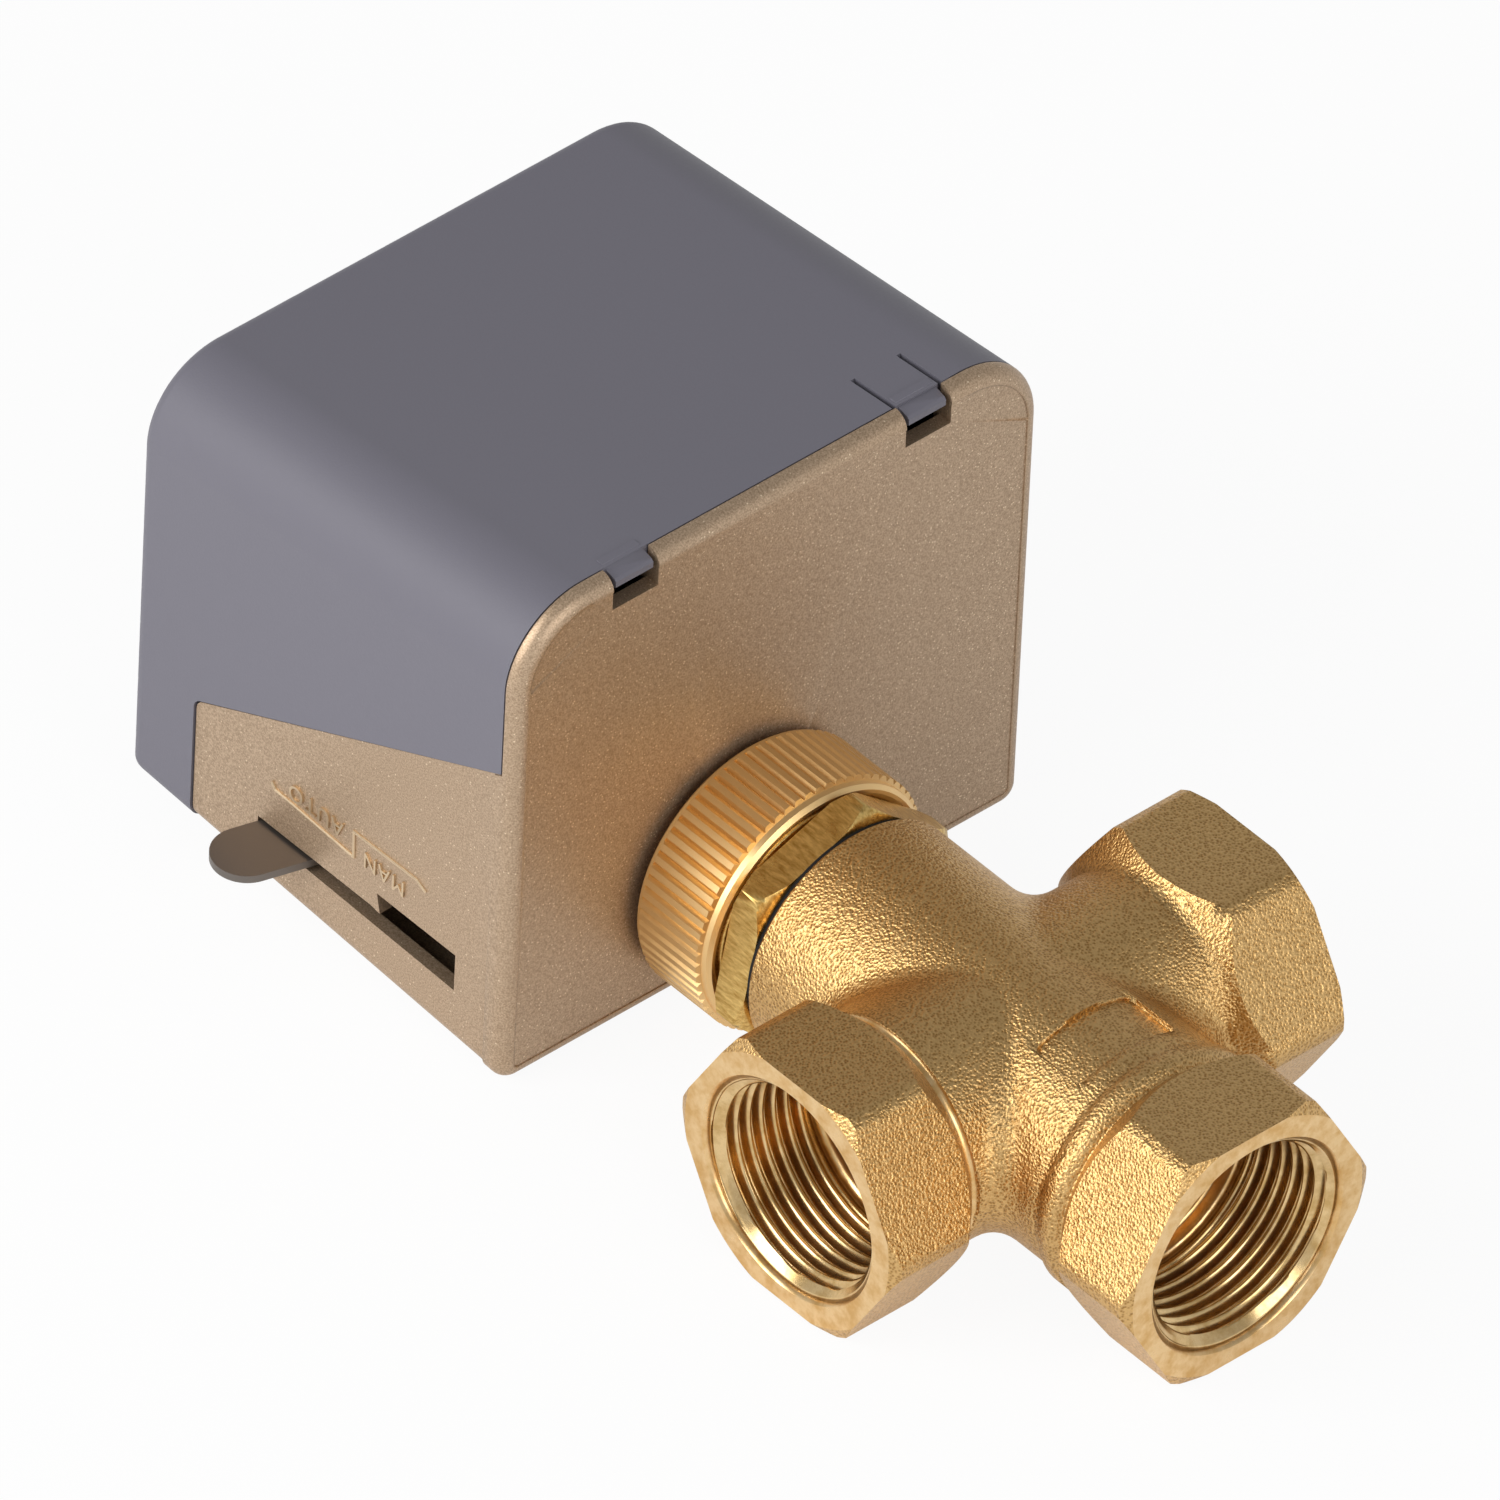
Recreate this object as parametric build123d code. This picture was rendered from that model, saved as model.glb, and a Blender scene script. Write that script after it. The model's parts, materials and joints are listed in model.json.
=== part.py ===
from build123d import *
import math
import os

# Motorised three-way fan coil control valve, in millimetres.
# The stem axis is X and points out of the end port. X is drawn from that port's mouth, and main()
# moves every piece so that the origin is just inside it, at the first full thread.
# The through run lies along Y, and Z is up as the valve lies with its actuator on its side.

# Pipe ports, Rp 3/4
THREAD_R = 13.22
THREAD_DEPTH = 14.5
THREAD_START = 1.0
MOUTH_R = 13.94
HEX_FLATS = 32.0
HEX_EDGE_R = 1.6
HEX_TURNED_R = 18.0
HEX_FACE_R = 16.7
HEX_LENGTH = 10.6
SHOULDER_LENGTH = 3.6

# Body
RUN_X = -38.25
HALF_RUN = 33.0
RUN_R = 14.4
BARREL_R = 15.0
NECK_X = -65.3
BLEND_R = 4.0
BEAD_X = -15.8
BEAD_R = 15.7
BEAD_HALF = 1.4
GROOVE_R = 14.7
NEAR_GROOVE = 14.4
NEAR_GROOVE_R = 0.8
PAD_X = -24.1
PAD_LENGTH = 7.6
PAD_WIDTH = 14.2
PAD_DEPTH = 0.6

# Waterways
NECK_WALL = 3.0
BONNET_THREAD_DEPTH = 10.8
CHAMBER_R = 10.5
UPPER_SEAT_X = -44.5
WEB = 2.5
UPPER_SEAT_R = 7.0
LOWER_SEAT_X = -31.5
SEAT_LIP = 1.5
SEAT_RING_R = 9.5
SEAT_RING_LENGTH = 4.0
SEAT_HOLE_R = 6.5
SIDE_WAY_R = 5.6
DUCT_HALF = 4.5
DUCT_WALL = 2.5
RISER = 3.5

# Bonnet, its gasket and gland
GASKET = 0.45
BONNET_FLATS = 28.6
BONNET_CORNER_R = 16.4
BONNET_FACE_R = 14.9
BONNET_HEX = 4.4
BONNET_HEX_TURN = 20.0
COLLAR_R = 14.0
COLLAR_LENGTH = 8.8
CUP_R = 8.6
CUP_FLOOR_X = -69.2
GLAND_R = 5.0
GLAND_DEPTH = 6.6
SEAL_WIRE = 1.8
BUSH_CLEAR = 0.05

# Stem and plug
STEM_R = 3.0
STEM_END_R = 2.5
STEM_TIP_X = -81.2
STEM_COLLAR_R = 4.2
PLUG_R = 8.5
PLUG_SEAL = 1.5
PLUG_DISC = 1.6
PLUG_WAIST_R = 4.0
PLUG_NUT_LENGTH = 3.0
SPRING_CAP_R = 7.6
SPRING_CAP = 1.0
CLIP = 0.6
CLIP_R = 4.3
VALVE_SPRING_R = 6.2
VALVE_SPRING_WIRE = 1.2
VALVE_SPRING_TURNS = 5

# Coupling nut
NUT_R = 16.4
NUT_LENGTH = 11.7
NUT_RIM = 0.7
NUT_FRONT_RIM = 1.1
NUT_LIP = 1.5
KNURLS = 68
KNURL_DEPTH = 0.5
KNURL_LAND = 0.75
SPIGOT_R = 10.6
SPIGOT_WALL = 1.5
RING_R = 12.4
RING = 0.9
RING_GAP = 5.0

# Actuator housing
FACE_X = -83.4
RIM = 2.0
SEAM_X = FACE_X - RIM
BACK_X = -146.2
SIDE_LOW, SIDE_HIGH = -34.1, 41.9
FLOOR_Z, TOP_Z = -16.0, 50.7
BACK_SIDE = 0.2
BACK_FLOOR_RISE = 3.6
BACK_TOP_DROP = 5.4
TOP_CORNER_R = 10.5
FLOOR_CORNER_R = 2.5
FACE_EDGE_R = 1.9
WALL = 2.0
FIT = 0.2
LIP = 2.0
PLATE = 3.0
BACK_EDGE_R = 2.0
PANEL_BACK_X = -135.5
PANEL_BACK_Z = 4.5
PANEL_FRONT_Z = 28.3
PANEL_CORNER_R = 1.6
SEAM_GAP = 0.2
PANEL_STEP = 0.25
PANEL_STEP_X = -86.6
FACE_STEP = 0.12

# Clip tabs at the top of the front plate
TAB_Y = -17.3
FINGER_Y = 25.2
NOTCH_WIDTH = 6.6
NOTCH_FLOOR_Z = 46.2
TAB_WIDTH = 5.4
TAB_REACH = 1.6
TAB_FOLD = 0.7
TAB_STEP = 0.25
NOTCH_HOLLOW = 3.0
TAB_THICK = 1.9
SLIT = 0.65
SLIT_LENGTH = 7.0

# Lever, crank and gears
PIVOT_X, PIVOT_Y = -109.4, 5.5
LEVER_Z = -5.8
LEVER_THICK = 1.0
LEVER_WIDTH = 8.2
LEVER_OUT = 8.4
LEVER_HUB_R = 7.0
REST_ANGLE = 15.46
SLOT_HEIGHT = 1.9
SLOT_BACK_X, SLOT_END_X = -124.8, -91.9
WINDOW_X = -104.4
WINDOW_TOP_Z = -2.5
WINDOW_LOW_Z = -7.6
SHAFT_R = 2.5
HUB_R = 3.2
CRANK_R = 6.5
ROLLER_R = 3.0
ROLLER_PIN_R = 1.2
ROLLER_LENGTH = 6.0
GEAR_Z = 3.6
GEAR_THICK = 2.5
MODULE = 1.0
SECTOR_TEETH = 44
PINION_TEETH = 11
SECTOR_CUT = 7
ADDENDUM = 0.85
DEDENDUM = 1.15
BACKLASH = 0.22
GEAR_ANGLE = 150.0
PRESSURE = 20.0

# Push rod
ROD_R = 2.5
ROD_GAP = 0.1
ROD_BUSH_R = 4.5
ROD_BUSH_LENGTH = 9.0
BUSH_FLANGE_R = 6.5
BUSH_FLANGE = 0.9
BOSS_WALL = 3.0
ROD_CLIP_BACK = 4.6

# Frame plate, motor and wiring
FRAME_Z = 12.5
FRAME_THICK = 1.5
FRAME_MARGIN = 1.0
FRAME_BACK_X = -141.0
PILLAR_R = 3.0
SCREW_R = 1.5
SCREW_HEAD_R = 2.8
SCREW_HEAD = 2.0
MOTOR_X, MOTOR_Y = -118.0, 10.0
MOTOR_R = 24.5
MOTOR_HEIGHT = 22.0
MOTOR_EDGE_R = 2.0
MOTOR_PLATE = 1.0
MOTOR_EAR = 28.0
MOTOR_EAR_R = 4.0
MOTOR_EAR_ANGLE = 45.0
SHAFT_PINION_R = 1.5
TERMINAL_R = 1.9
RETURN_SPRING_R = 4.6
RETURN_SPRING_WIRE = 0.9
RETURN_SPRING_TURNS = 4
BLOCK_X, BLOCK_Y = -111.5, -23.5
BLOCK_LENGTH, BLOCK_WIDTH, BLOCK_HEIGHT = 33.0, 12.0, 12.0
POLES = 4
GROMMET_X, GROMMET_Z = -113.0, -2.0
GROMMET_R = 5.0
GROMMET_LIP_R = 7.0
GROMMET_BORE_R = 3.0
EARTH_X, EARTH_Y = -96.0, 31.0

BACK = (Align.CENTER, Align.CENTER, Align.MIN)
BONNET_THREAD_R = BARREL_R - NECK_WALL
SIDE_MID = (SIDE_LOW + SIDE_HIGH) / 2
TRAVEL = 2 * CRANK_R * math.sin(math.radians(REST_ANGLE))
SEAL_FACE_X = UPPER_SEAT_X + 0.05
PLUG_END_X = LOWER_SEAT_X - TRAVEL - 0.05
GASKET_X = NECK_X - GASKET
HEX_TOP_X = GASKET_X - BONNET_HEX
COLLAR_TOP_X = HEX_TOP_X - COLLAR_LENGTH
CAP_X = STEM_TIP_X + 0.3 + CLIP
NUT_BACK_X = FACE_X + 0.9
NUT_FRONT_X = NUT_BACK_X + NUT_LENGTH
RING_X = NUT_BACK_X + NUT_LIP + 0.1
FRAME_TOP_Z = FRAME_Z + FRAME_THICK
GEAR_DISTANCE = MODULE * (SECTOR_TEETH + PINION_TEETH) / 2
PINION_X = PIVOT_X + GEAR_DISTANCE * math.cos(math.radians(GEAR_ANGLE))
PINION_Y = PIVOT_Y + GEAR_DISTANCE * math.sin(math.radians(GEAR_ANGLE))


def turned(*points):
    """A solid turned about the stem axis from (x, radius) points."""
    return revolve(make_face(Polyline(*points, close=True)), Axis.X)


def pillar(x, y, radius, low, high):
    """An upright cylinder from one height to another."""
    return Pos(x, y, low) * Cylinder(radius, high - low, align=BACK)


def along_x(radius, start, end):
    """A cylinder on the stem axis."""
    return Plane(origin=(start, 0, 0), z_dir=(1, 0, 0)) * Cylinder(radius, end - start, align=BACK)


def spring(radius, wire, turns, length, place):
    """A coil spring of round wire, its first coil at the place's origin and its axis along the place's Z."""
    path = Helix(pitch=length / turns, height=length, radius=radius)
    section = Plane(origin=path @ 0, z_dir=path % 0) * Circle(wire / 2)
    return place * sweep(section, path=path)


def port_plane(port):
    """The mouth of a port as a plane whose Z points out and whose Y is up."""
    if port == "end":
        return Plane(origin=(0, 0, 0), x_dir=(0, 1, 0), z_dir=(1, 0, 0))
    side = 1 if port == "far" else -1
    return Plane(origin=(RUN_X, side * HALF_RUN, 0), x_dir=(-side, 0, 0), z_dir=(0, side, 0))


def port_hex():
    """A hexagonal port end with turned corners and a sloping shoulder behind them."""
    depth = HEX_LENGTH + SHOULDER_LENGTH
    prism = extrude(RegularPolygon(HEX_FLATS / 2, 6, major_radius=False), -depth)
    prism = fillet(prism.edges().filter_by(Axis.Z), HEX_EDGE_R)
    chamfer_depth = (HEX_TURNED_R - HEX_FACE_R) * 0.6
    envelope = revolve(Plane.XZ * make_face(Polyline(
        (0, 0), (HEX_FACE_R, 0), (HEX_TURNED_R, -chamfer_depth), (HEX_TURNED_R, -HEX_LENGTH),
        (RUN_R, -depth), (0, -depth), close=True)), Axis.Z)
    return prism & envelope


def port_bore():
    """The tapping size of a port with its mouth chamfer."""
    lead = MOUTH_R - THREAD_R
    return revolve(Plane.XZ * make_face(Polyline(
        (0, 1), (MOUTH_R + 1, 1), (THREAD_R, -lead), (THREAD_R, -THREAD_DEPTH),
        (0, -THREAD_DEPTH - 2.0), close=True)), Axis.Z)


def valve_body():
    shoulder_x = -HEX_LENGTH - SHOULDER_LENGTH
    barrel = turned((NECK_X, 0), (NECK_X, BARREL_R - 0.4), (NECK_X + 0.4, BARREL_R),
                    (BEAD_X - 2.4 * BEAD_HALF, BARREL_R), (BEAD_X - 1.3 * BEAD_HALF, GROOVE_R),
                    (BEAD_X - 0.6 * BEAD_HALF, BEAD_R), (BEAD_X + 0.6 * BEAD_HALF, BEAD_R),
                    (BEAD_X + 1.2 * BEAD_HALF, GROOVE_R), (shoulder_x + 1.0, GROOVE_R), (shoulder_x + 1.0, 0))
    run = Plane(origin=(RUN_X, -HALF_RUN + HEX_LENGTH, 0), z_dir=(0, 1, 0)) * Cylinder(
        RUN_R, 2 * (HALF_RUN - HEX_LENGTH), align=BACK)
    body = barrel + run
    body = fillet(new_edges(barrel, run, combined=body), BLEND_R)
    for port in ("end", "near", "far"):
        body += port_plane(port) * port_hex()
    for port in ("end", "near", "far"):
        body -= port_plane(port) * port_bore()
    # the machined bores, from the neck and from the end port
    body -= along_x(BONNET_THREAD_R, NECK_X - 1, NECK_X + BONNET_THREAD_DEPTH)
    body -= along_x(CHAMBER_R, NECK_X, UPPER_SEAT_X - WEB)
    body -= along_x(UPPER_SEAT_R, NECK_X, UPPER_SEAT_X + 1)
    body -= along_x(CHAMBER_R, UPPER_SEAT_X, LOWER_SEAT_X - SEAT_LIP)
    body -= along_x(PLUG_R + 0.4, UPPER_SEAT_X, LOWER_SEAT_X + 1)
    body -= along_x(SEAT_RING_R + 0.02, LOWER_SEAT_X, -THREAD_DEPTH)
    # the near port opens into the middle chamber, the far one is led round to the upper chamber
    way = Plane(origin=(RUN_X, -HALF_RUN + THREAD_DEPTH - 1, 0), z_dir=(0, 1, 0))
    body -= way * Cylinder(SIDE_WAY_R, HALF_RUN - THREAD_DEPTH - CHAMBER_R + 4, align=BACK)
    riser_x, port_floor = UPPER_SEAT_X - WEB, HALF_RUN - THREAD_DEPTH
    duct_back, duct_y = riser_x - RISER, CHAMBER_R + DUCT_WALL
    duct = make_face(Polyline(
        (duct_back, 0), (riser_x, 0), (riser_x, duct_y - 0.7), (RUN_X + DUCT_HALF, duct_y + 0.5),
        (RUN_X + DUCT_HALF, port_floor + 1), (duct_back, port_floor - 2), close=True))
    body -= extrude(duct, DUCT_HALF, both=True)
    # a groove at the foot of the near port, and the curved recess of the bare marking pad
    body -= Plane(origin=(RUN_X, -HALF_RUN + NEAR_GROOVE, 0), z_dir=(0, 1, 0)) * Torus(
        RUN_R + 0.35 * NEAR_GROOVE_R, NEAR_GROOVE_R)
    pad = Pos(PAD_X, 0, 0) * extrude(RectangleRounded(PAD_LENGTH, PAD_WIDTH, 1.0), BARREL_R + 6)
    pad -= along_x(BARREL_R - PAD_DEPTH, PAD_X - PAD_LENGTH, PAD_X + PAD_LENGTH)
    return body - pad


def seat_ring():
    return turned((LOWER_SEAT_X, SEAT_HOLE_R), (LOWER_SEAT_X, SEAT_HOLE_R + 0.8),
                  (LOWER_SEAT_X + 0.4, SEAT_HOLE_R + 1.4), (LOWER_SEAT_X + 0.4, SEAT_RING_R),
                  (LOWER_SEAT_X + SEAT_RING_LENGTH, SEAT_RING_R),
                  (LOWER_SEAT_X + SEAT_RING_LENGTH, SEAT_HOLE_R + 1.0),
                  (LOWER_SEAT_X + SEAT_RING_LENGTH - 1.0, SEAT_HOLE_R))


def bonnet_gasket():
    return turned((GASKET_X, BONNET_THREAD_R), (GASKET_X, BARREL_R - 0.5), (NECK_X, BARREL_R - 0.5),
                  (NECK_X, BONNET_THREAD_R))


def bonnet():
    chamfer_length = (BONNET_CORNER_R - BONNET_FACE_R) * 0.8
    skirt_x = NECK_X + BONNET_THREAD_DEPTH - 1.0
    gland_x = skirt_x - GLAND_DEPTH
    hexagon = Plane(origin=(HEX_TOP_X, 0, 0), x_dir=(0, 1, 0), z_dir=(1, 0, 0)) * extrude(
        RegularPolygon(BONNET_FLATS / 2, 6, major_radius=False, rotation=BONNET_HEX_TURN), BONNET_HEX)
    hexagon &= turned((HEX_TOP_X, 0), (HEX_TOP_X, BONNET_FACE_R + 0.6), (HEX_TOP_X + 0.7, BONNET_CORNER_R),
                      (GASKET_X - chamfer_length, BONNET_CORNER_R), (GASKET_X, BONNET_FACE_R), (GASKET_X, 0))
    stalk = turned((COLLAR_TOP_X, 0), (COLLAR_TOP_X, COLLAR_R - 1.0), (COLLAR_TOP_X + 1.0, COLLAR_R),
                   (HEX_TOP_X - 1.2, COLLAR_R), (HEX_TOP_X - 0.9, COLLAR_R - 1.0), (GASKET_X, COLLAR_R - 1.0),
                   (GASKET_X, BONNET_THREAD_R - BUSH_CLEAR), (skirt_x - 1.0, BONNET_THREAD_R - BUSH_CLEAR),
                   (skirt_x, BONNET_THREAD_R - 1.0), (skirt_x, 0))
    cup = along_x(CUP_R, COLLAR_TOP_X - 1, CUP_FLOOR_X)
    bore = along_x(STEM_R + BUSH_CLEAR, CUP_FLOOR_X - 1, skirt_x + 1)
    gland = along_x(GLAND_R, gland_x, skirt_x + 1)
    return hexagon + stalk - cup - bore - gland


def gland_seals():
    gland_x = NECK_X + BONNET_THREAD_DEPTH - 1.0 - GLAND_DEPTH
    middle_r = (STEM_R + GLAND_R) / 2
    rings = []
    for count in (0.5, 1.55):
        centre = gland_x + count * SEAL_WIRE + 0.1
        rings.append(Plane(origin=(centre, 0, 0), z_dir=(1, 0, 0)) * Torus(middle_r, SEAL_WIRE / 2))
    return Compound(children=rings)


def gland_bush():
    gland_x = NECK_X + BONNET_THREAD_DEPTH - 1.0 - GLAND_DEPTH
    start = gland_x + 2.2 * SEAL_WIRE
    end = gland_x + GLAND_DEPTH - 0.3
    return turned((start, STEM_R + BUSH_CLEAR), (start, GLAND_R - BUSH_CLEAR), (end, GLAND_R - BUSH_CLEAR),
                  (end, STEM_R + BUSH_CLEAR))


def stem():
    groove_x = STEM_TIP_X + 0.3
    return turned((STEM_TIP_X, 0), (STEM_TIP_X, STEM_END_R - 0.5), (STEM_TIP_X + 0.2, STEM_END_R - 0.3),
                  (groove_x, STEM_END_R - 0.3), (groove_x, STEM_END_R - 0.6), (groove_x + CLIP, STEM_END_R - 0.6),
                  (groove_x + CLIP, STEM_END_R), (CAP_X + SPRING_CAP, STEM_END_R), (CAP_X + SPRING_CAP, STEM_R),
                  (SEAL_FACE_X - 1.2, STEM_R), (SEAL_FACE_X - 1.2, STEM_COLLAR_R), (SEAL_FACE_X, STEM_COLLAR_R),
                  (SEAL_FACE_X, STEM_END_R), (PLUG_END_X + PLUG_NUT_LENGTH + 0.6, STEM_END_R),
                  (PLUG_END_X + PLUG_NUT_LENGTH + 1.0, STEM_END_R - 0.4), (PLUG_END_X + PLUG_NUT_LENGTH + 1.0, 0))


def plug():
    start, end = SEAL_FACE_X + PLUG_SEAL, PLUG_END_X - PLUG_SEAL
    return turned((start, STEM_END_R + 0.02), (start, PLUG_R), (start + PLUG_DISC, PLUG_R),
                  (start + PLUG_DISC + 0.8, PLUG_WAIST_R), (end - PLUG_DISC - 0.8, PLUG_WAIST_R),
                  (end - PLUG_DISC, PLUG_R), (end, PLUG_R), (end, STEM_END_R + 0.02))


def plug_seals():
    seals = [along_x(PLUG_R, x, x + PLUG_SEAL) - along_x(STEM_END_R + 0.02, x - 1, x + PLUG_SEAL + 1)
             for x in (SEAL_FACE_X, PLUG_END_X - PLUG_SEAL)]
    return Compound(children=seals)


def plug_nut():
    blank = Plane(origin=(PLUG_END_X, 0, 0), z_dir=(1, 0, 0)) * extrude(
        RegularPolygon(STEM_COLLAR_R - 0.2, 6, major_radius=False), PLUG_NUT_LENGTH)
    return blank - along_x(STEM_END_R + 0.02, PLUG_END_X - 1, PLUG_END_X + PLUG_NUT_LENGTH + 1)


def spring_cap():
    return turned((CAP_X, STEM_END_R + 0.02), (CAP_X, SPRING_CAP_R - 0.3), (CAP_X + 0.3, SPRING_CAP_R),
                  (CAP_X + SPRING_CAP, SPRING_CAP_R), (CAP_X + SPRING_CAP, STEM_END_R + 0.02))


def open_ring(x, thick, inner, outer, gap):
    """A flat spring ring round the stem axis with a gap at its underside."""
    ring = along_x(outer, x, x + thick) - along_x(inner, x - 1, x + thick + 1)
    return ring - Pos(x + thick / 2, 0, -outer) * Box(thick + 1, gap, 2 * (outer - inner) + gap)


def stem_clip():
    return open_ring(STEM_TIP_X + 0.3, CLIP, STEM_END_R - 0.6, CLIP_R, 2.4)


def valve_spring():
    length = CUP_FLOOR_X - (CAP_X + SPRING_CAP) - VALVE_SPRING_WIRE - 0.1
    start = CAP_X + SPRING_CAP + VALVE_SPRING_WIRE / 2 + 0.05
    return spring(VALVE_SPRING_R, VALVE_SPRING_WIRE, VALVE_SPRING_TURNS, length,
                  Plane(origin=(start, 0, 0), z_dir=(1, 0, 0)))


def coupling_nut():
    inner = COLLAR_R + BUSH_CLEAR
    lip_r = SPIGOT_R + 0.15
    rim_r = NUT_R - 0.4
    nut = turned((NUT_BACK_X, lip_r), (NUT_BACK_X, rim_r - 0.3), (NUT_BACK_X + 0.3, rim_r),
                 (NUT_BACK_X + NUT_RIM, rim_r), (NUT_BACK_X + NUT_RIM + 0.3, NUT_R),
                 (NUT_FRONT_X - NUT_FRONT_RIM - 0.2, NUT_R), (NUT_FRONT_X - NUT_FRONT_RIM, NUT_R - 0.6),
                 (NUT_FRONT_X - 0.4 * NUT_FRONT_RIM, NUT_R - 0.7), (NUT_FRONT_X, NUT_R - 1.2),
                 (NUT_FRONT_X, inner + 0.7), (NUT_FRONT_X - 0.7, inner),
                 (NUT_BACK_X + NUT_LIP, inner), (NUT_BACK_X + NUT_LIP, lip_r))
    # straight knurl of V grooves with flat lands between them
    pitch = 2 * math.pi * NUT_R / KNURLS
    half = (pitch - KNURL_LAND) / 2
    start, end = NUT_BACK_X + NUT_RIM + 0.1, NUT_FRONT_X - NUT_FRONT_RIM + 0.1
    groove = Plane(origin=(start, 0, NUT_R), x_dir=(0, 1, 0), z_dir=(1, 0, 0)) * extrude(
        make_face(Polyline((-half * 1.25, 0.25 * KNURL_DEPTH), (0, -KNURL_DEPTH),
                           (half * 1.25, 0.25 * KNURL_DEPTH), close=True)), end - start)
    grooves = [Rot(360 / KNURLS * count, 0, 0) * groove for count in range(KNURLS)]
    return nut - grooves


def nut_ring():
    return open_ring(RING_X, RING, SPIGOT_R - 0.5, RING_R, RING_GAP)


def outline(x, inset=0.0):
    """The housing's outline at a station along X: a rectangle with large top and small bottom corners."""
    share = (x - SEAM_X) / (BACK_X - SEAM_X)
    low = FLOOR_Z + BACK_FLOOR_RISE * share + inset
    high = TOP_Z - BACK_TOP_DROP * share - inset
    width = SIDE_HIGH - SIDE_LOW - 2 * BACK_SIDE * share - 2 * inset
    sketch = Rectangle(width, high - low)
    sketch = fillet(sketch.vertices().group_by(Axis.Y)[-1], TOP_CORNER_R - inset)
    sketch = fillet(sketch.vertices().group_by(Axis.Y)[0], max(FLOOR_CORNER_R - inset, 0.4))
    return Plane(origin=(x, SIDE_MID, (low + high) / 2), x_dir=(0, 1, 0), z_dir=(1, 0, 0)) * sketch


def floor_at(x):
    """The height of the housing's underside at a station along X."""
    return FLOOR_Z + BACK_FLOOR_RISE * (x - SEAM_X) / (BACK_X - SEAM_X)


def housing(front, back, inset=0.0):
    """The tapering housing form between two stations."""
    return loft([outline(front, inset), outline(back, inset)], ruled=True)


def panel_line(clear):
    """The side view of all that lies under the slanting seam, cut clear of it by a gap."""
    slope = (PANEL_FRONT_Z - PANEL_BACK_Z) / (SEAM_X - PANEL_BACK_X)
    past = 6.0
    sketch = make_face(Polyline(
        (PANEL_BACK_X - clear, FLOOR_Z - 10), (PANEL_BACK_X - clear, PANEL_BACK_Z + clear),
        (SEAM_X + past, PANEL_FRONT_Z + slope * past + clear), (SEAM_X + past, FLOOR_Z - 10), close=True))
    corner = sketch.vertices().sort_by_distance(Vector(PANEL_BACK_X - clear, PANEL_BACK_Z + clear, 0))[0]
    sketch = fillet(corner, PANEL_CORNER_R)
    span = SIDE_HIGH - SIDE_LOW + 20
    return Plane(origin=(0, SIDE_HIGH + 10, 0), x_dir=(1, 0, 0), z_dir=(0, -1, 0)) * extrude(sketch, span)


def pillars():
    """The places of the four cast pillars that carry the frame plate."""
    front, back = FACE_X - PLATE - PILLAR_R - 0.5, PANEL_BACK_X + PILLAR_R + 1.0
    low, high = SIDE_LOW + WALL + PILLAR_R + 0.4, SIDE_HIGH - WALL - PILLAR_R - 0.4
    return [(front, low), (front, high), (back, low), (back, high)]


def notch(y):
    """A gap through the plate's top rim for a clip tab, deeper behind the rim."""
    depth, corner = PLATE + LIP + 2, (Align.MIN, Align.MIN, Align.MIN)
    gap = Pos(FACE_X + 1 - depth, y - NOTCH_WIDTH / 2, NOTCH_FLOOR_Z) * Box(
        depth, NOTCH_WIDTH, TOP_Z - NOTCH_FLOOR_Z + 2, align=corner)
    return gap + Pos(FACE_X + 1 - depth, y - NOTCH_WIDTH / 2, NOTCH_FLOOR_Z - NOTCH_HOLLOW) * Box(
        depth - 1 - RIM, NOTCH_WIDTH, NOTCH_HOLLOW + 1, align=corner)


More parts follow.
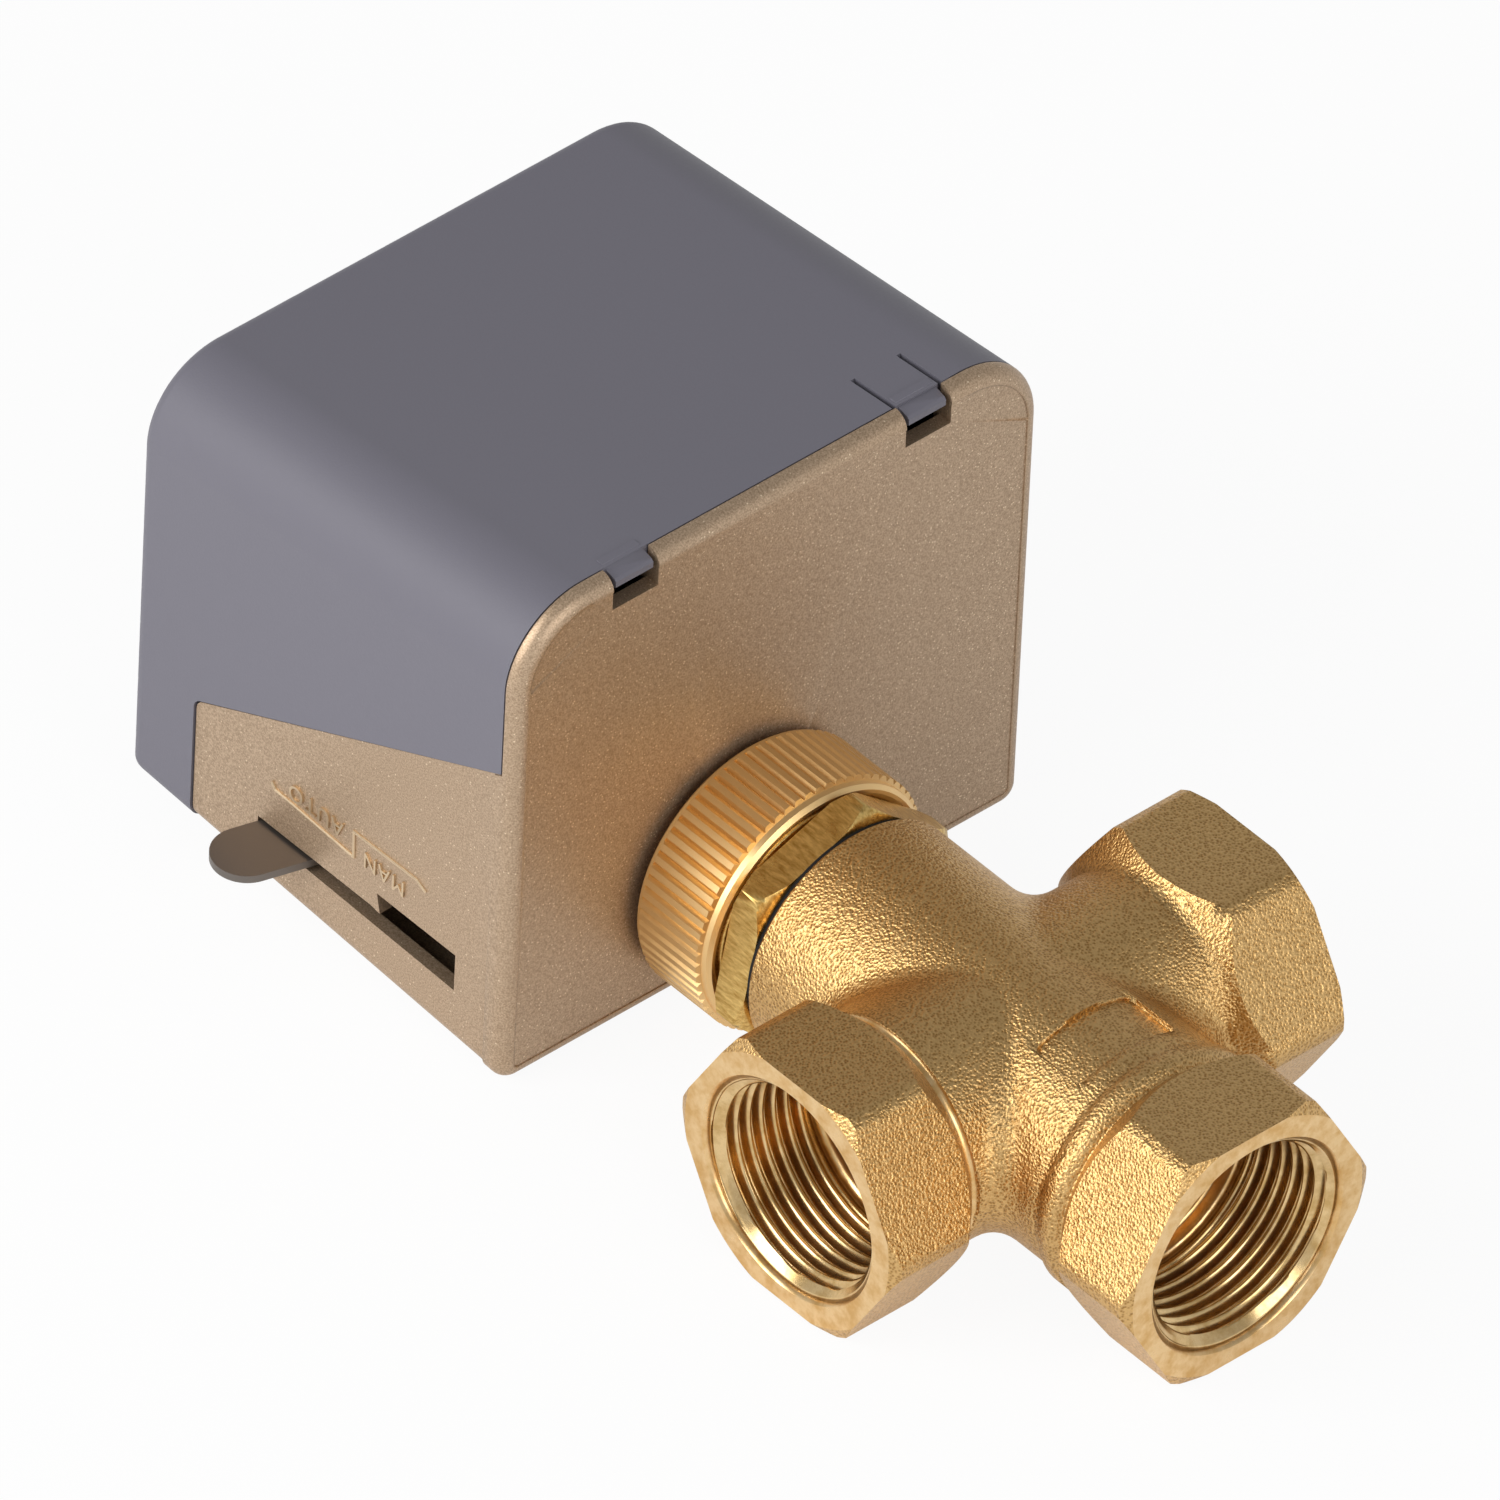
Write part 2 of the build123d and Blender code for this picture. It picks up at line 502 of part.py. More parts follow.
def base_casting():
    rim = extrude(outline(SEAM_X), RIM)
    rim = fillet(rim.faces().sort_by(Axis.X)[-1].edges(), FACE_EDGE_R)
    rim -= Plane(origin=(FACE_X - SEAM_X - FACE_STEP, 0, 0)) * extrude(outline(SEAM_X, FACE_EDGE_R), 1)
    plate_back = FACE_X - PLATE
    lip = extrude(outline(SEAM_X, WALL + FIT), -LIP)
    lip -= extrude(Plane(origin=(plate_back - SEAM_X, 0, 0)) * outline(SEAM_X, WALL + FIT + 1.6), -LIP)
    tray = housing(SEAM_X, PANEL_STEP_X) + housing(SEAM_X, PANEL_BACK_X, PANEL_STEP)
    tray -= housing(SEAM_X, PANEL_BACK_X - 1, WALL)
    tray &= panel_line(0.0)
    base = rim + lip + tray
    for x, y in pillars():
        base += pillar(x, y, PILLAR_R, floor_at(x) + 1.0, FRAME_Z)
    base += pillar(PIVOT_X, PIVOT_Y, HUB_R + 2.0, floor_at(PIVOT_X) + 1.0, LEVER_Z - LEVER_THICK / 2 - 0.3)
    base += pillar(EARTH_X, EARTH_Y, PILLAR_R + 1.0, floor_at(EARTH_X) + 1.0, FLOOR_Z + WALL + 3.0)
    base += along_x(ROD_BUSH_R + BOSS_WALL, FACE_X - ROD_BUSH_LENGTH + BUSH_FLANGE, FACE_X - 1)
    base += along_x(SPIGOT_R, FACE_X - 1, COLLAR_TOP_X - 0.1)
    # machined bores and the ring's groove
    base -= along_x(SPIGOT_R - SPIGOT_WALL, FACE_X, COLLAR_TOP_X + 1)
    base -= along_x(ROD_BUSH_R + 0.02, FACE_X - ROD_BUSH_LENGTH - 1, FACE_X + 1)
    base -= along_x(SPIGOT_R + 1, RING_X - 0.05, RING_X + RING + 0.05) - along_x(
        SPIGOT_R - 0.5, RING_X - 1, RING_X + RING + 1)
    for x, y in pillars():
        base -= pillar(x, y, SCREW_R + 0.02, FRAME_Z - 9.0, FRAME_Z + 1)
    base -= pillar(PIVOT_X, PIVOT_Y, SHAFT_R, FLOOR_Z + 4.5, FRAME_Z)
    base -= pillar(EARTH_X, EARTH_Y, 1.8, FLOOR_Z + 2.0, FLOOR_Z + WALL + 4.0)
    # the lever's slot, its window and latch tooth, in the near side panel
    slot = make_face(Polyline(
        (SLOT_BACK_X, LEVER_Z - SLOT_HEIGHT / 2), (SLOT_BACK_X, LEVER_Z + SLOT_HEIGHT / 2),
        (WINDOW_X - 1.5, LEVER_Z + SLOT_HEIGHT / 2), (WINDOW_X, LEVER_Z + SLOT_HEIGHT / 2 - 0.25),
        (WINDOW_X - 0.6, WINDOW_TOP_Z), (SLOT_END_X, WINDOW_TOP_Z), (SLOT_END_X, WINDOW_LOW_Z), close=True))
    base -= Plane(origin=(0, SIDE_LOW + WALL + 1, 0), x_dir=(1, 0, 0), z_dir=(0, -1, 0)) * extrude(
        slot, WALL + 3)
    base -= Plane(origin=(GROMMET_X, SIDE_HIGH - WALL - 2, GROMMET_Z), z_dir=(0, 1, 0)) * Cylinder(
        GROMMET_R, WALL + 4, align=BACK)
    return base - notch(TAB_Y) - notch(FINGER_Y)


def clip_tab(y):
    """A tab of the cover that lies in a notch of the plate's rim, with a sloping nose."""
    nose = SEAM_X + TAB_REACH
    profile = make_face(Polyline(
        (SEAM_X - SEAM_GAP - 1.5, TOP_Z), (SEAM_X - SEAM_GAP - 0.5, TOP_Z),
        (SEAM_X - SEAM_GAP - 0.3, TOP_Z - TAB_STEP), (nose - 0.3, TOP_Z - TAB_FOLD), (nose, TOP_Z - TAB_FOLD - 0.3),
        (nose, TOP_Z - TAB_THICK + 0.1), (nose - 0.3, TOP_Z - TAB_THICK - 0.1),
        (SEAM_X - SEAM_GAP - 1.5, TOP_Z - TAB_THICK), close=True))
    return Plane(origin=(0, y + TAB_WIDTH / 2, 0), x_dir=(1, 0, 0), z_dir=(0, -1, 0)) * extrude(
        profile, TAB_WIDTH)


def cover():
    shell = housing(SEAM_X - SEAM_GAP, BACK_X)
    shell = fillet(shell.faces().sort_by(Axis.X)[0].edges(), BACK_EDGE_R)
    shell -= housing(SEAM_X + 1, BACK_X + WALL, WALL)
    shell -= panel_line(SEAM_GAP)
    for side in (-1, 1):
        slit_y = FINGER_Y + side * (NOTCH_WIDTH + SLIT) / 2 - side * 0.3
        shell -= Pos(SEAM_X - SLIT_LENGTH / 2 + 0.5, slit_y, TOP_Z) * Box(SLIT_LENGTH + 1, SLIT, 4 * WALL)
    return shell + clip_tab(TAB_Y) + clip_tab(FINGER_Y)


def rod_bush():
    return turned((FACE_X - ROD_BUSH_LENGTH, ROD_R + BUSH_CLEAR), (FACE_X - ROD_BUSH_LENGTH, ROD_BUSH_R),
                  (FACE_X, ROD_BUSH_R), (FACE_X, BUSH_FLANGE_R), (FACE_X + BUSH_FLANGE, BUSH_FLANGE_R),
                  (FACE_X + BUSH_FLANGE, ROD_R + BUSH_CLEAR))


def roller_place():
    """The roller's centre with the lever at its automatic end."""
    angle = math.radians(REST_ANGLE)
    return PIVOT_X - CRANK_R * math.sin(angle), PIVOT_Y - CRANK_R * math.cos(angle)


def rod_end_x():
    return roller_place()[0] + ROLLER_R + ROD_GAP


def rod_clip_x():
    return FACE_X - ROD_BUSH_LENGTH - ROD_CLIP_BACK


def push_rod():
    clip_x = rod_clip_x()
    return turned((rod_end_x(), 0), (rod_end_x(), ROD_R - 0.4), (rod_end_x() + 0.4, ROD_R),
                  (clip_x, ROD_R), (clip_x, ROD_R - 0.5), (clip_x + CLIP, ROD_R - 0.5), (clip_x + CLIP, ROD_R),
                  (STEM_TIP_X - ROD_GAP - 0.4, ROD_R), (STEM_TIP_X - ROD_GAP, ROD_R - 0.4),
                  (STEM_TIP_X - ROD_GAP, 0))


def rod_clip():
    return open_ring(rod_clip_x(), CLIP, ROD_R - 0.5, CLIP_R, 2.4)


def at_pivot(angle):
    """The pivot's frame, its local -Y along the crank when the angle is the lever's own."""
    return Pos(PIVOT_X, PIVOT_Y, 0) * Rot(0, 0, angle)


def manual_lever():
    reach = (PIVOT_Y - SIDE_LOW) / math.cos(math.radians(REST_ANGLE)) + LEVER_OUT
    tip_r = LEVER_WIDTH / 2
    blade = Pos(0, -(reach - tip_r) / 2, 0) * Rectangle(LEVER_WIDTH, reach - tip_r)
    blade += Pos(0, -(reach - tip_r), 0) * Circle(tip_r)
    blade += Circle(LEVER_HUB_R)
    blade -= Circle(SHAFT_R + BUSH_CLEAR)
    blade -= Pos(0, -CRANK_R, 0) * Circle(ROLLER_PIN_R)
    plate = extrude(blade, LEVER_THICK)
    return at_pivot(-REST_ANGLE) * Pos(0, 0, LEVER_Z - LEVER_THICK / 2) * plate


def involute_tooth(teeth, slack):
    """One tooth's outline about +X: an involute flank mirrored, from inside the root circle to the tip."""
    pitch_r = MODULE * teeth / 2
    base_r = pitch_r * math.cos(math.radians(PRESSURE))
    root_r, tip_r = pitch_r - DEDENDUM * MODULE, pitch_r + ADDENDUM * MODULE

    def roll(radius):
        """The involute angle at a radius, zero inside the base circle."""
        turn = math.acos(min(1.0, base_r / radius))
        return math.tan(turn) - turn

    half = (math.pi * MODULE / 2 - slack) / (2 * pitch_r)
    start_r = max(root_r, base_r)
    radii = [start_r + (tip_r - start_r) * step / 3 for step in range(4)]
    flank = [(radius, half + roll(pitch_r) - roll(radius)) for radius in radii]
    flank = [(root_r - 0.3, flank[0][1])] + flank
    upper = [(r * math.cos(a), r * math.sin(a)) for r, a in flank]
    lower = [(r * math.cos(a), -r * math.sin(a)) for r, a in reversed(flank)]
    return make_face(Polyline(*upper, *lower, close=True))


def sector_gear():
    root_r = MODULE * SECTOR_TEETH / 2 - DEDENDUM * MODULE
    step = 360 / SECTOR_TEETH
    half_span = math.radians(SECTOR_CUT * step / 2)
    reach = 2 * root_r
    fan = make_face(Polyline(
        (0, 0), (reach * math.cos(half_span), reach * math.sin(half_span)),
        (reach * math.cos(half_span), -reach * math.sin(half_span)), close=True))
    web = (Circle(root_r) & fan) + Circle(HUB_R + 2.0)
    web -= Pos(root_r * 0.62, 0, 0) * Circle(3.6)
    tooth = involute_tooth(SECTOR_TEETH, BACKLASH)
    for count in range(SECTOR_CUT):
        web += Rot(0, 0, (count - (SECTOR_CUT - 1) / 2) * step) * tooth
    # the crank arm holds the upper end of the roller's pin
    crank = Pos(0, -CRANK_R / 2, 0) * Rectangle(2 * ROLLER_PIN_R + 2.6, CRANK_R)
    crank += Pos(0, -CRANK_R, 0) * Circle(ROLLER_PIN_R + 1.3)
    plan = Rot(0, 0, GEAR_ANGLE - REST_ANGLE) * web + Rot(0, 0, -REST_ANGLE) * crank
    hub_low = LEVER_Z + LEVER_THICK / 2
    gear = Pos(0, 0, GEAR_Z) * extrude(plan, GEAR_THICK)
    gear += Pos(0, 0, hub_low) * Cylinder(HUB_R, GEAR_Z + GEAR_THICK + 0.4 - hub_low, align=BACK)
    gear -= Pos(0, 0, LEVER_Z) * Cylinder(SHAFT_R + BUSH_CLEAR, 40, align=BACK)
    gear -= Rot(0, 0, -REST_ANGLE) * Pos(0, -CRANK_R, 0) * Cylinder(ROLLER_PIN_R, 40)
    return Pos(PIVOT_X, PIVOT_Y, 0) * gear


def pivot_shaft():
    return pillar(PIVOT_X, PIVOT_Y, SHAFT_R, FLOOR_Z + 4.5, FRAME_TOP_Z)


def roller_pin():
    x, y = roller_place()
    return pillar(x, y, ROLLER_PIN_R, LEVER_Z - LEVER_THICK / 2, GEAR_Z + GEAR_THICK)


def roller():
    x, y = roller_place()
    body = chamfer(Cylinder(ROLLER_R, ROLLER_LENGTH).edges().filter_by(GeomType.CIRCLE), 0.3)
    return Pos(x, y, 0) * (body - Cylinder(ROLLER_PIN_R + BUSH_CLEAR, ROLLER_LENGTH + 1))


def return_spring():
    """A torsion spring round the shaft, with one leg for the gear's side and one for the frame's."""
    low = GEAR_Z + GEAR_THICK + RETURN_SPRING_WIRE
    length = FRAME_Z - RETURN_SPRING_WIRE - low
    path = Helix(pitch=length / RETURN_SPRING_TURNS, height=length, radius=RETURN_SPRING_R)
    start = Plane(origin=path @ 0, z_dir=path % 0) * Circle(RETURN_SPRING_WIRE / 2)
    finish = Plane(origin=path @ 1, z_dir=path % 1) * Circle(RETURN_SPRING_WIRE / 2)
    coil = sweep(start, path=path)
    legs = extrude(start, -5.0) + extrude(finish, 5.0)
    return Pos(PIVOT_X, PIVOT_Y, low) * (coil + legs)


def motor_ears():
    """The places of the motor's two mounting screws."""
    angle = math.radians(MOTOR_EAR_ANGLE)
    across, up = MOTOR_EAR * math.cos(angle), MOTOR_EAR * math.sin(angle)
    return [(MOTOR_X + across, MOTOR_Y + up), (MOTOR_X - across, MOTOR_Y - up)]


def frame_plate():
    low, high = SIDE_LOW + WALL + FRAME_MARGIN, SIDE_HIGH - WALL - FRAME_MARGIN
    front = FACE_X - PLATE - LIP + FIT
    plan = Pos((front + FRAME_BACK_X) / 2, (low + high) / 2) * RectangleRounded(
        front - FRAME_BACK_X, high - low, 3.0)
    for x, y in pillars():
        plan -= Pos(x, y) * Circle(SCREW_R + 0.1)
    for x, y in motor_ears():
        plan -= Pos(x, y) * Circle(SCREW_R + 0.02)
    plan -= Pos(PINION_X, PINION_Y) * Circle(MODULE * (PINION_TEETH / 2 + ADDENDUM) + 0.6)
    plan -= Pos(PIVOT_X, PIVOT_Y) * Circle(SHAFT_R + 0.02)
    # a wiring gap behind the terminal block
    plan -= Pos(BLOCK_X, high - 4.0) * SlotOverall(18.0, 5.0)
    return Pos(0, 0, FRAME_Z) * extrude(plan, FRAME_THICK)


def pan_screw(x, y, seat_z, length, radius=SCREW_R, head_r=SCREW_HEAD_R):
    """An upright cross-slotted pan head screw whose head rests at a height."""
    head = Pos(x, y, seat_z) * Cylinder(head_r, SCREW_HEAD, align=BACK)
    head = fillet(head.edges().filter_by(GeomType.CIRCLE).sort_by(Axis.Z)[-1], 0.35 * SCREW_HEAD)
    top = seat_z + SCREW_HEAD
    for turn in (0, 90):
        head -= Pos(x, y, top) * Rot(0, 0, turn) * Box(head_r * 1.1, 0.5, SCREW_HEAD)
    shank = pillar(x, y, radius, seat_z - length, seat_z + 0.1)
    return head + chamfer(shank.edges().filter_by(GeomType.CIRCLE).sort_by(Axis.Z)[0], 0.3)


def frame_screws():
    return Compound(children=[pan_screw(x, y, FRAME_TOP_Z, 8.0) for x, y in pillars()])


def motor_plate():
    plan = Circle(MOTOR_R - 0.5)
    for x, y in motor_ears():
        plan += Pos(x - MOTOR_X, y - MOTOR_Y) * Circle(MOTOR_EAR_R)
    bar = Rot(0, 0, MOTOR_EAR_ANGLE) * Rectangle(2 * MOTOR_EAR, 2 * MOTOR_EAR_R)
    plan += bar
    for x, y in motor_ears():
        plan -= Pos(x - MOTOR_X, y - MOTOR_Y) * Circle(SCREW_R + 0.1)
    plan -= Pos(PINION_X - MOTOR_X, PINION_Y - MOTOR_Y) * Circle(SHAFT_PINION_R + 1.0)
    return Pos(MOTOR_X, MOTOR_Y, FRAME_TOP_Z) * extrude(plan, MOTOR_PLATE)


def motor_can():
    low = FRAME_TOP_Z + MOTOR_PLATE
    can = pillar(MOTOR_X, MOTOR_Y, MOTOR_R, low, low + MOTOR_HEIGHT)
    can = fillet(can.edges().filter_by(GeomType.CIRCLE).sort_by(Axis.Z)[-1], MOTOR_EDGE_R)
    # a rolled waist where the gearbox meets the winding, and the raised rear boss
    can -= Pos(MOTOR_X, MOTOR_Y, low + 0.45 * MOTOR_HEIGHT) * Torus(MOTOR_R + 0.3, 1.0)
    can += pillar(MOTOR_X, MOTOR_Y, 0.3 * MOTOR_R, low + MOTOR_HEIGHT - 0.5, low + MOTOR_HEIGHT + 1.0)
    return can - pillar(PINION_X, PINION_Y, SHAFT_PINION_R + BUSH_CLEAR, low - 1, low + 8.0)


def motor_screws():
    seat = FRAME_TOP_Z + MOTOR_PLATE
    return Compound(children=[pan_screw(x, y, seat, 4.5) for x, y in motor_ears()])


def motor_shaft():
    return pillar(PINION_X, PINION_Y, SHAFT_PINION_R, GEAR_Z - 0.6, FRAME_TOP_Z + MOTOR_PLATE + 7.5)


def motor_pinion():
    # its gaps face the sector's teeth at rest
    step = 360 / PINION_TEETH
    lag = REST_ANGLE * SECTOR_TEETH / PINION_TEETH
    first = GEAR_ANGLE + 180.0 + lag + step / 2
    plan = Circle(MODULE * (PINION_TEETH / 2 - DEDENDUM))
    tooth = involute_tooth(PINION_TEETH, BACKLASH)
    for count in range(PINION_TEETH):
        plan += Rot(0, 0, first + count * step) * tooth
    gear = extrude(plan, GEAR_THICK + 1.0)
    gear += Pos(0, 0, GEAR_THICK + 1.0) * Cylinder(SHAFT_PINION_R + 1.5, 4.0, align=BACK)
    gear -= Pos(0, 0, -1) * Cylinder(SHAFT_PINION_R, 20, align=BACK)
    return Pos(PINION_X, PINION_Y, GEAR_Z - 0.5) * gear


def terminal_block():
    place = Pos(BLOCK_X, BLOCK_Y, FRAME_TOP_Z)
    block = place * Box(BLOCK_LENGTH, BLOCK_WIDTH, BLOCK_HEIGHT, align=BACK)
    block = chamfer(block.edges().filter_by(Axis.X).group_by(Axis.Z)[-1], 2.0)
    pitch = BLOCK_LENGTH / POLES
    for count in range(POLES):
        across = (count - (POLES - 1) / 2) * pitch
        block -= place * Pos(across, 0, BLOCK_HEIGHT - 4.0) * Cylinder(TERMINAL_R + 0.4, 6, align=BACK)
        entry = Pos(across, -BLOCK_WIDTH / 2, 3.5) * Rot(90, 0, 0)
        block -= place * entry * Cylinder(1.7, 16)
    for count in range(1, POLES):
        across = (count - POLES / 2) * pitch
        block -= place * Pos(across, 0, BLOCK_HEIGHT - 1.5) * Box(0.9, BLOCK_WIDTH + 1, 4, align=BACK)
    return block


def terminal_screws():
    pitch = BLOCK_LENGTH / POLES
    screws = []
    for count in range(POLES):
        across = (count - (POLES - 1) / 2) * pitch
        head = Pos(BLOCK_X + across, BLOCK_Y, FRAME_TOP_Z + BLOCK_HEIGHT - 4.0) * Cylinder(
            TERMINAL_R, 2.0, align=BACK)
        screws.append(head - Pos(BLOCK_X + across, BLOCK_Y, FRAME_TOP_Z + BLOCK_HEIGHT - 2.6) * Box(
            2 * TERMINAL_R + 1, 0.6, 2.0, align=BACK))
    return Compound(children=screws)


def cable_grommet():
    outer = SIDE_HIGH - PANEL_STEP
    ring = revolve(Plane.XY * make_face(Polyline(
        (GROMMET_BORE_R, 3.2), (GROMMET_BORE_R + 0.8, 4.2), (GROMMET_LIP_R - 0.6, 2.2), (GROMMET_LIP_R, 1.4),
        (GROMMET_LIP_R, 0.05), (GROMMET_R - 0.05, 0.05), (GROMMET_R - 0.05, -WALL),
        (GROMMET_R + 1.2, -WALL), (GROMMET_R + 0.9, -WALL - 1.2), (GROMMET_R - 0.8, -WALL - 2.4),
        (GROMMET_BORE_R, -WALL - 2.4), close=True)), Axis.Y)
    return Pos(GROMMET_X, outer, GROMMET_Z) * ring


def earth_screw():
    return pan_screw(EARTH_X, EARTH_Y, FLOOR_Z + WALL + 3.0, 2.8, 1.75, 3.4)


def main():
    os.makedirs("parts", exist_ok=True)
    pieces = {
        "valve_body": valve_body(),
        "seat_ring": seat_ring(),
        "bonnet_gasket": bonnet_gasket(),
        "bonnet": bonnet(),
        "gland_seals": gland_seals(),
        "gland_bush": gland_bush(),
        "stem": stem(),
        "plug": plug(),
        "plug_seals": plug_seals(),
        "plug_nut": plug_nut(),
        "spring_cap": spring_cap(),
        "stem_clip": stem_clip(),
        "valve_spring": valve_spring(),
        "coupling_nut": coupling_nut(),
        "nut_ring": nut_ring(),
        "base_casting": base_casting(),
        "cover": cover(),
        "rod_bush": rod_bush(),
        "push_rod": push_rod(),
        "rod_clip": rod_clip(),
        "pivot_shaft": pivot_shaft(),
        "manual_lever": manual_lever(),
        "sector_gear": sector_gear(),
        "roller_pin": roller_pin(),
        "roller": roller(),
        "return_spring": return_spring(),
        "frame_plate": frame_plate(),
        "frame_screws": frame_screws(),
        "motor_plate": motor_plate(),
        "motor_can": motor_can(),
        "motor_screws": motor_screws(),
        "motor_shaft": motor_shaft(),
        "motor_pinion": motor_pinion(),
        "terminal_block": terminal_block(),
        "terminal_screws": terminal_screws(),
        "cable_grommet": cable_grommet(),
        "earth_screw": earth_screw(),
    }
    for name, piece in pieces.items():
        solids = [Pos(THREAD_START, 0, 0) * solid for solid in piece.solids()]
        export_step(solids[0] if len(solids) == 1 else Compound(solids), f"parts/{name}.step")


if __name__ == "__main__":
    main()
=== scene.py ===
import json
import math

import bmesh
import bpy
import numpy as np
from mathutils import Matrix, Vector


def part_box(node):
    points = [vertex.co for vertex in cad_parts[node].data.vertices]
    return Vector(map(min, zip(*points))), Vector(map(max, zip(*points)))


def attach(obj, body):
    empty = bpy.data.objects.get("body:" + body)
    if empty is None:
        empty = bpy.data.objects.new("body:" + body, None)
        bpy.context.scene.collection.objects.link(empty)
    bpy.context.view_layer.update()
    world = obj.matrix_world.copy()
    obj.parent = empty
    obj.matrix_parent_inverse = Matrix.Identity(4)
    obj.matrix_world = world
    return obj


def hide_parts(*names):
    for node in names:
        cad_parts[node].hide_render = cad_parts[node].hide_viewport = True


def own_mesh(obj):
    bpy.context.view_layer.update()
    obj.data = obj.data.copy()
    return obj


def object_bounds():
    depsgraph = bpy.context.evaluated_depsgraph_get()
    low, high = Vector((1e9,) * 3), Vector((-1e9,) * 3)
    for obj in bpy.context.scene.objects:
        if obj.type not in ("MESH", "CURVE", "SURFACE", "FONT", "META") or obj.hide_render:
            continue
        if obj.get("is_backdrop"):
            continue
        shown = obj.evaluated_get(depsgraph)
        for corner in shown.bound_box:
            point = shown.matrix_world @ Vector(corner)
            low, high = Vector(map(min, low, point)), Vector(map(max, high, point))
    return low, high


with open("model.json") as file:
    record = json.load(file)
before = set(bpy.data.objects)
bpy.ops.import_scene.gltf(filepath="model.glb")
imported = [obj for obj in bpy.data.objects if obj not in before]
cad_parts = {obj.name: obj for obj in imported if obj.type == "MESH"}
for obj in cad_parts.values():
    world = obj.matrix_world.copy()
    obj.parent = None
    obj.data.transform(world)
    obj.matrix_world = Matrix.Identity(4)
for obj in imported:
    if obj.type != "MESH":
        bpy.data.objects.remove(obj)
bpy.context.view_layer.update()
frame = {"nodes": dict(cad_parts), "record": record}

bl_info = {
    "name": "Fan coil control valve",
    "version": (1, 0, 0),
    "blender": (4, 5, 0),
    "location": "3D View > Sidebar > Valve",
    "description": "Dresses the packed fan coil control valve with its finishes, threads and raised words",
    "category": "Object",
}

MM = 0.001
PORTS = {mount["name"]: mount for mount in frame["record"]["mounts"] if mount["kind"] == "threaded_hole"}
BODY_OF = {node: body for body, nodes in frame["record"]["behaviour"]["bodies"].items() for node in nodes}

# the finish of every CAD node
NODE_FINISHES = {
    "valve_body": "blasted brass",
    "seat_ring": "turned brass",
    "bonnet_gasket": "gasket fibre",
    "bonnet": "milled brass",
    "gland_seals": "seal rubber",
    "gland_bush": "natural nylon",
    "stem": "polished stainless steel",
    "plug": "turned brass",
    "plug_seals": "seal rubber",
    "plug_nut": "turned brass",
    "spring_cap": "turned brass",
    "stem_clip": "spring steel",
    "valve_spring": "spring steel",
    "coupling_nut": "knurled brass",
    "nut_ring": "spring steel",
    "base_casting": "champagne lacquer",
    "cover": "grey moulded cover",
    "rod_bush": "turned brass",
    "push_rod": "polished stainless steel",
    "rod_clip": "spring steel",
    "pivot_shaft": "polished stainless steel",
    "manual_lever": "pressed lever steel",
    "sector_gear": "zinc-plated steel",
    "roller_pin": "polished stainless steel",
    "roller": "natural nylon",
    "return_spring": "spring steel",
    "frame_plate": "zinc-plated steel",
    "frame_screws": "zinc-plated steel",
    "motor_plate": "zinc-plated steel",
    "motor_can": "zinc-plated steel",
    "motor_screws": "zinc-plated steel",
    "motor_shaft": "polished stainless steel",
    "motor_pinion": "natural nylon",
    "terminal_block": "black moulding",
    "terminal_screws": "zinc-plated steel",
    "cable_grommet": "seal rubber",
    "earth_screw": "turned brass",
}
# nodes with rounded forms, shown as smooth copies whose edges over this angle stay sharp
SMOOTHED = ("valve_body", "bonnet", "base_casting", "cover", "manual_lever", "cable_grommet")
SMOOTH_ANGLE = math.radians(20)
WELD_GAP = 0.001 * MM
SLIVER = 0.0005 * MM
# only the sleeve's end edges stay sharp on a thread
THREAD_CREASE = math.radians(60)

# the large soft lights: place from the object's middle and width, in metres
KEY_PLACE, KEY_WIDTH = Vector((-0.25, -0.9, 0.55)), 0.8
FILL_PLACE, FILL_WIDTH = Vector((0.9, -0.1, 0.45)), 0.6


def linear(hex_colour):
    """An sRGB hex colour as linear RGBA."""
    channels = [int(hex_colour[i:i + 2], 16) / 255 for i in (0, 2, 4)]
    return [c / 12.92 if c <= 0.04045 else ((c + 0.055) / 1.055) ** 2.4 for c in channels] + [1.0]


def add_node(tree, kind, links=(), values=(), **settings):
    """Adds a shader node: settings are its attributes, values its sockets' constants, links their sources."""
    node = tree.nodes.new(kind)
    for name, value in settings.items():
        setattr(node, name, value)
    for socket, value in dict(values).items():
        node.inputs[socket].default_value = value
    for socket, source in dict(links).items():
        tree.links.new(source, node.inputs[socket])
    return node


def new_material(name, metallic=0.0):
    """A material with only a Principled surface; returns its tree and its shader."""
    material = bpy.data.materials.new(name)
    material.use_nodes = True
    tree = material.node_tree
    tree.nodes.clear()
    shader = add_node(tree, "ShaderNodeBsdfPrincipled", values={"Metallic": metallic})
    add_node(tree, "ShaderNodeOutputMaterial", links={"Surface": shader.outputs["BSDF"]})
    return tree, shader


def tones(tree, factor, dark, light, start=0.0, end=1.0):
    """A colour that goes from the dark hex colour to the light one while a factor goes from start to end."""
    ramp = add_node(tree, "ShaderNodeValToRGB", links={"Fac": factor})
    for stop, position, colour in zip(ramp.color_ramp.elements, (start, end), (dark, light)):
        stop.position = position
        stop.color = linear(colour)
    return ramp.outputs["Color"]


def grain(tree, size_mm, detail=2.0, roughness=0.5, stretch=(1, 1, 1)):
    """A factor of random spots about size_mm across, fixed to the piece."""
    place = add_node(tree, "ShaderNodeTexCoord")
    mapped = add_node(tree, "ShaderNodeMapping", links={"Vector": place.outputs["Object"]},
                      values={"Scale": stretch})
    noise = add_node(tree, "ShaderNodeTexNoise", links={"Vector": mapped.outputs["Vector"]},
                     values={"Scale": 1 / (size_mm * MM), "Detail": detail, "Roughness": roughness})
    return noise.outputs["Fac"]


